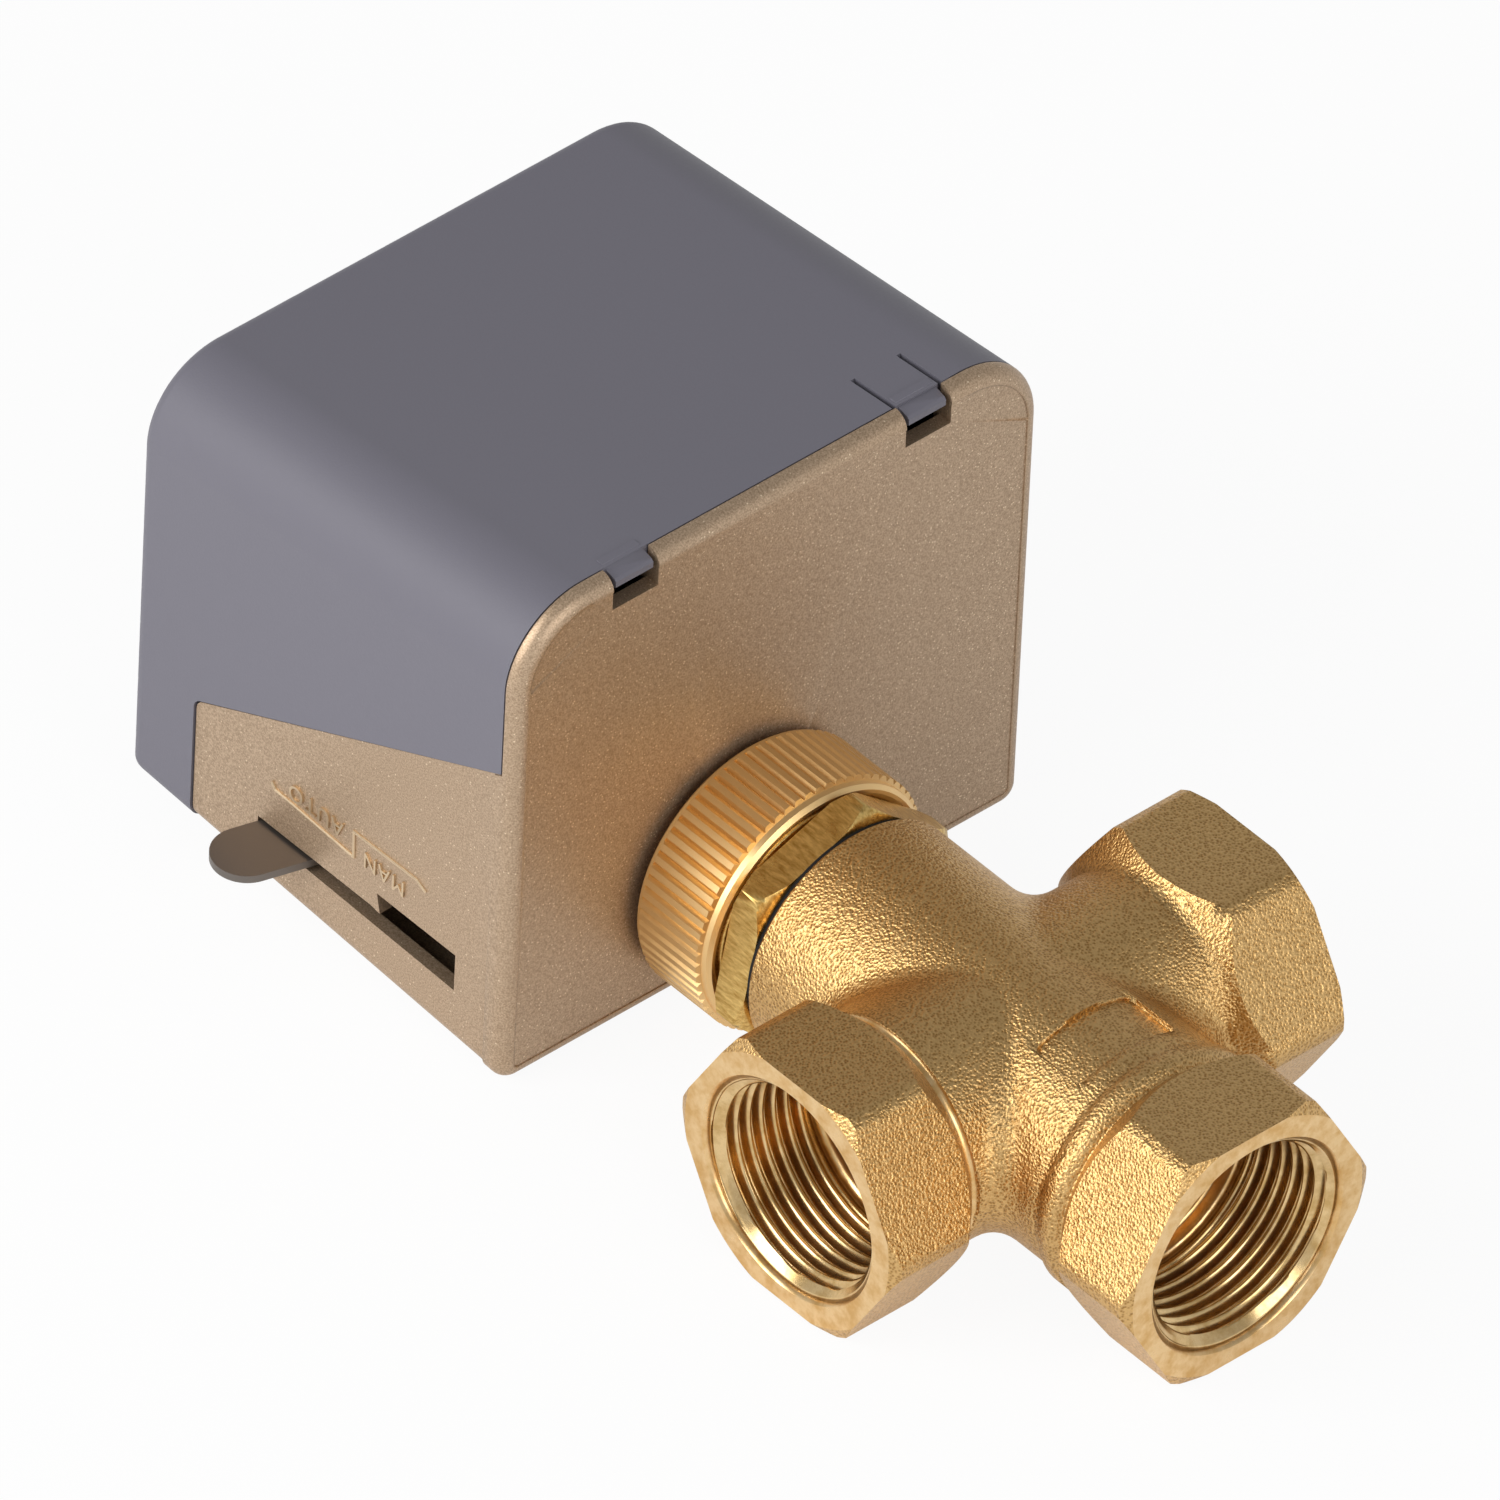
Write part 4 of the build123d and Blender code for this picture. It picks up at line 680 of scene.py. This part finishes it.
class OBJECT_OT_valve_stage(bpy.types.Operator):
    """Sets the floor, the soft lights and the camera at the photograph's angle"""
    bl_idname = "object.valve_stage"
    bl_label = "Stage"

    def execute(self, context):
        setting = context.scene.valve_stage_settings
        self.floor(setting)
        self.world(context.scene, setting)
        self.light("key light", KEY_PLACE, KEY_WIDTH, setting.key_power)
        self.light("fill light", FILL_PLACE, FILL_WIDTH, setting.fill_power)
        self.camera(context.scene)
        context.scene.view_settings.view_transform = "Standard"
        return {"FINISHED"}

    def floor(self, setting):
        """A plain floor under the object that shows white and keeps its shadow."""
        reach, z = 4.0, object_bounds()[0].z
        data = bpy.data.meshes.new("floor")
        data.from_pydata([(-reach, -reach, z), (reach, -reach, z), (reach, reach, z), (-reach, reach, z)], [],
                         [(0, 1, 2, 3)])
        floor = bpy.data.objects.new("floor", data)
        bpy.context.scene.collection.objects.link(floor)
        material = bpy.data.materials.new("studio floor")
        material.use_nodes = True
        tree = material.node_tree
        tree.nodes.clear()
        lit = add_node(tree, "ShaderNodeBsdfDiffuse", values={"Color": linear(setting.floor)})
        white = add_node(tree, "ShaderNodeEmission", values={"Color": linear("FFFFFF"), "Strength": 1.0})
        seen = add_node(tree, "ShaderNodeMath", operation="MULTIPLY", links={0: self.seen_rays(tree)},
                        values={1: setting.floor_seen})
        rays = add_node(tree, "ShaderNodeLightPath")
        mirrored = add_node(tree, "ShaderNodeMath", operation="MULTIPLY_ADD",
                            links={0: rays.outputs["Is Glossy Ray"], 2: seen.outputs[0]},
                            values={1: setting.floor_in_metal})
        mixed = add_node(tree, "ShaderNodeMixShader",
                         links={0: mirrored.outputs[0], 1: lit.outputs[0], 2: white.outputs[0]})
        add_node(tree, "ShaderNodeOutputMaterial", links={"Surface": mixed.outputs[0]})
        data.materials.append(material)
        floor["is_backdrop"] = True

    def seen_rays(self, tree):
        """One for camera and transmission rays, zero for the rest."""
        rays = add_node(tree, "ShaderNodeLightPath")
        both = add_node(tree, "ShaderNodeMath", operation="MAXIMUM",
                        links={0: rays.outputs["Is Camera Ray"], 1: rays.outputs["Is Transmission Ray"]})
        return both.outputs[0]

    def world(self, scene, setting):
        """A soft room: a pale horizon and a darker ceiling for the metal to show, and white to the camera."""
        world = bpy.data.worlds.new("studio")
        world.use_nodes = True
        tree = world.node_tree
        tree.nodes.clear()
        place = add_node(tree, "ShaderNodeTexCoord")
        height = add_node(tree, "ShaderNodeSeparateXYZ", links={"Vector": place.outputs["Generated"]})
        sky = tones(tree, height.outputs["Z"], "FFFFFF", "BCBCBC", start=0.1, end=0.75)
        room = add_node(tree, "ShaderNodeBackground", links={"Color": sky},
                        values={"Strength": setting.ambient})
        white = add_node(tree, "ShaderNodeBackground", values={"Color": linear("FFFFFF"), "Strength": 1.0})
        mixed = add_node(tree, "ShaderNodeMixShader",
                         links={0: self.seen_rays(tree), 1: room.outputs[0], 2: white.outputs[0]})
        add_node(tree, "ShaderNodeOutputWorld", links={"Surface": mixed.outputs[0]})
        scene.world = world

    def light(self, name, place, width, power):
        """A large soft light, aimed at the object's middle."""
        low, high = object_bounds()
        light = bpy.data.lights.new(name, "AREA")
        light.shape = "SQUARE"
        light.size = width
        light.energy = power
        lamp = bpy.data.objects.new(name, light)
        bpy.context.scene.collection.objects.link(lamp)
        lamp.location = (low + high) / 2 + place
        lamp.rotation_mode = "QUATERNION"
        lamp.rotation_quaternion = (-place).to_track_quat("-Z", "Y")
        lamp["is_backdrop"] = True

    def camera(self, scene):
        """The camera fitted to the photograph from the end port's mouth: angles, roll, distance, sideways
        offsets and view width."""
        azimuth, elevation, roll = math.radians(46.76), math.radians(41.52), math.radians(2.81)
        distance, aside, upward, view_width = 5381 * MM, -53.99 * MM, 53.85 * MM, 162.73 * MM
        level = math.cos(elevation)
        back = Vector((math.sin(azimuth) * level, -math.cos(azimuth) * level, math.sin(elevation)))
        right = Vector((math.cos(azimuth), math.sin(azimuth), 0))
        up = back.cross(right)
        right, up = right * math.cos(roll) + up * math.sin(roll), up * math.cos(roll) - right * math.sin(roll)
        data = bpy.data.cameras.new("camera")
        data.sensor_width = 36.0
        data.lens = data.sensor_width * distance / view_width
        data.clip_start, data.clip_end = 0.1, 20.0
        camera = bpy.data.objects.new("camera", data)
        scene.collection.objects.link(camera)
        mouth = Vector((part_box("valve_body")[1].x, 0, 0))
        place = mouth + back * distance + right * aside + up * upward
        camera.matrix_world = Matrix.Translation(place) @ Matrix((right, up, back)).transposed().to_4x4()
        scene.camera = camera


class VIEW3D_PT_valve(bpy.types.Panel):
    """Lists the valve's operators in the sidebar"""
    bl_label = "Fan coil control valve"
    bl_idname = "VIEW3D_PT_valve"
    bl_space_type = "VIEW_3D"
    bl_region_type = "UI"
    bl_category = "Valve"

    def draw(self, context):
        for operator in OPERATORS:
            self.layout.operator(operator.bl_idname)


SETTINGS = {
    "valve_finish_settings": ValveFinishSettings,
    "valve_thread_settings": ValveThreadSettings,
    "valve_word_settings": ValveWordSettings,
    "valve_stage_settings": ValveStageSettings,
}
OPERATORS = (OBJECT_OT_valve_finishes, OBJECT_OT_valve_spring, OBJECT_OT_valve_threads,
             OBJECT_OT_valve_words, OBJECT_OT_valve_stage)


def register():
    for name, group in SETTINGS.items():
        bpy.utils.register_class(group)
        setattr(bpy.types.Scene, name, bpy.props.PointerProperty(type=group))
    for operator in OPERATORS:
        bpy.utils.register_class(operator)
    bpy.utils.register_class(VIEW3D_PT_valve)


def unregister():
    bpy.utils.unregister_class(VIEW3D_PT_valve)
    for operator in reversed(OPERATORS):
        bpy.utils.unregister_class(operator)
    for name, group in SETTINGS.items():
        delattr(bpy.types.Scene, name)
        bpy.utils.unregister_class(group)


def main():
    register()
    bpy.ops.object.valve_finishes()
    bpy.ops.object.valve_spring()
    bpy.ops.object.valve_threads()
    bpy.ops.object.valve_words()
    bpy.ops.object.valve_stage()


if __name__ == "__main__":
    main()
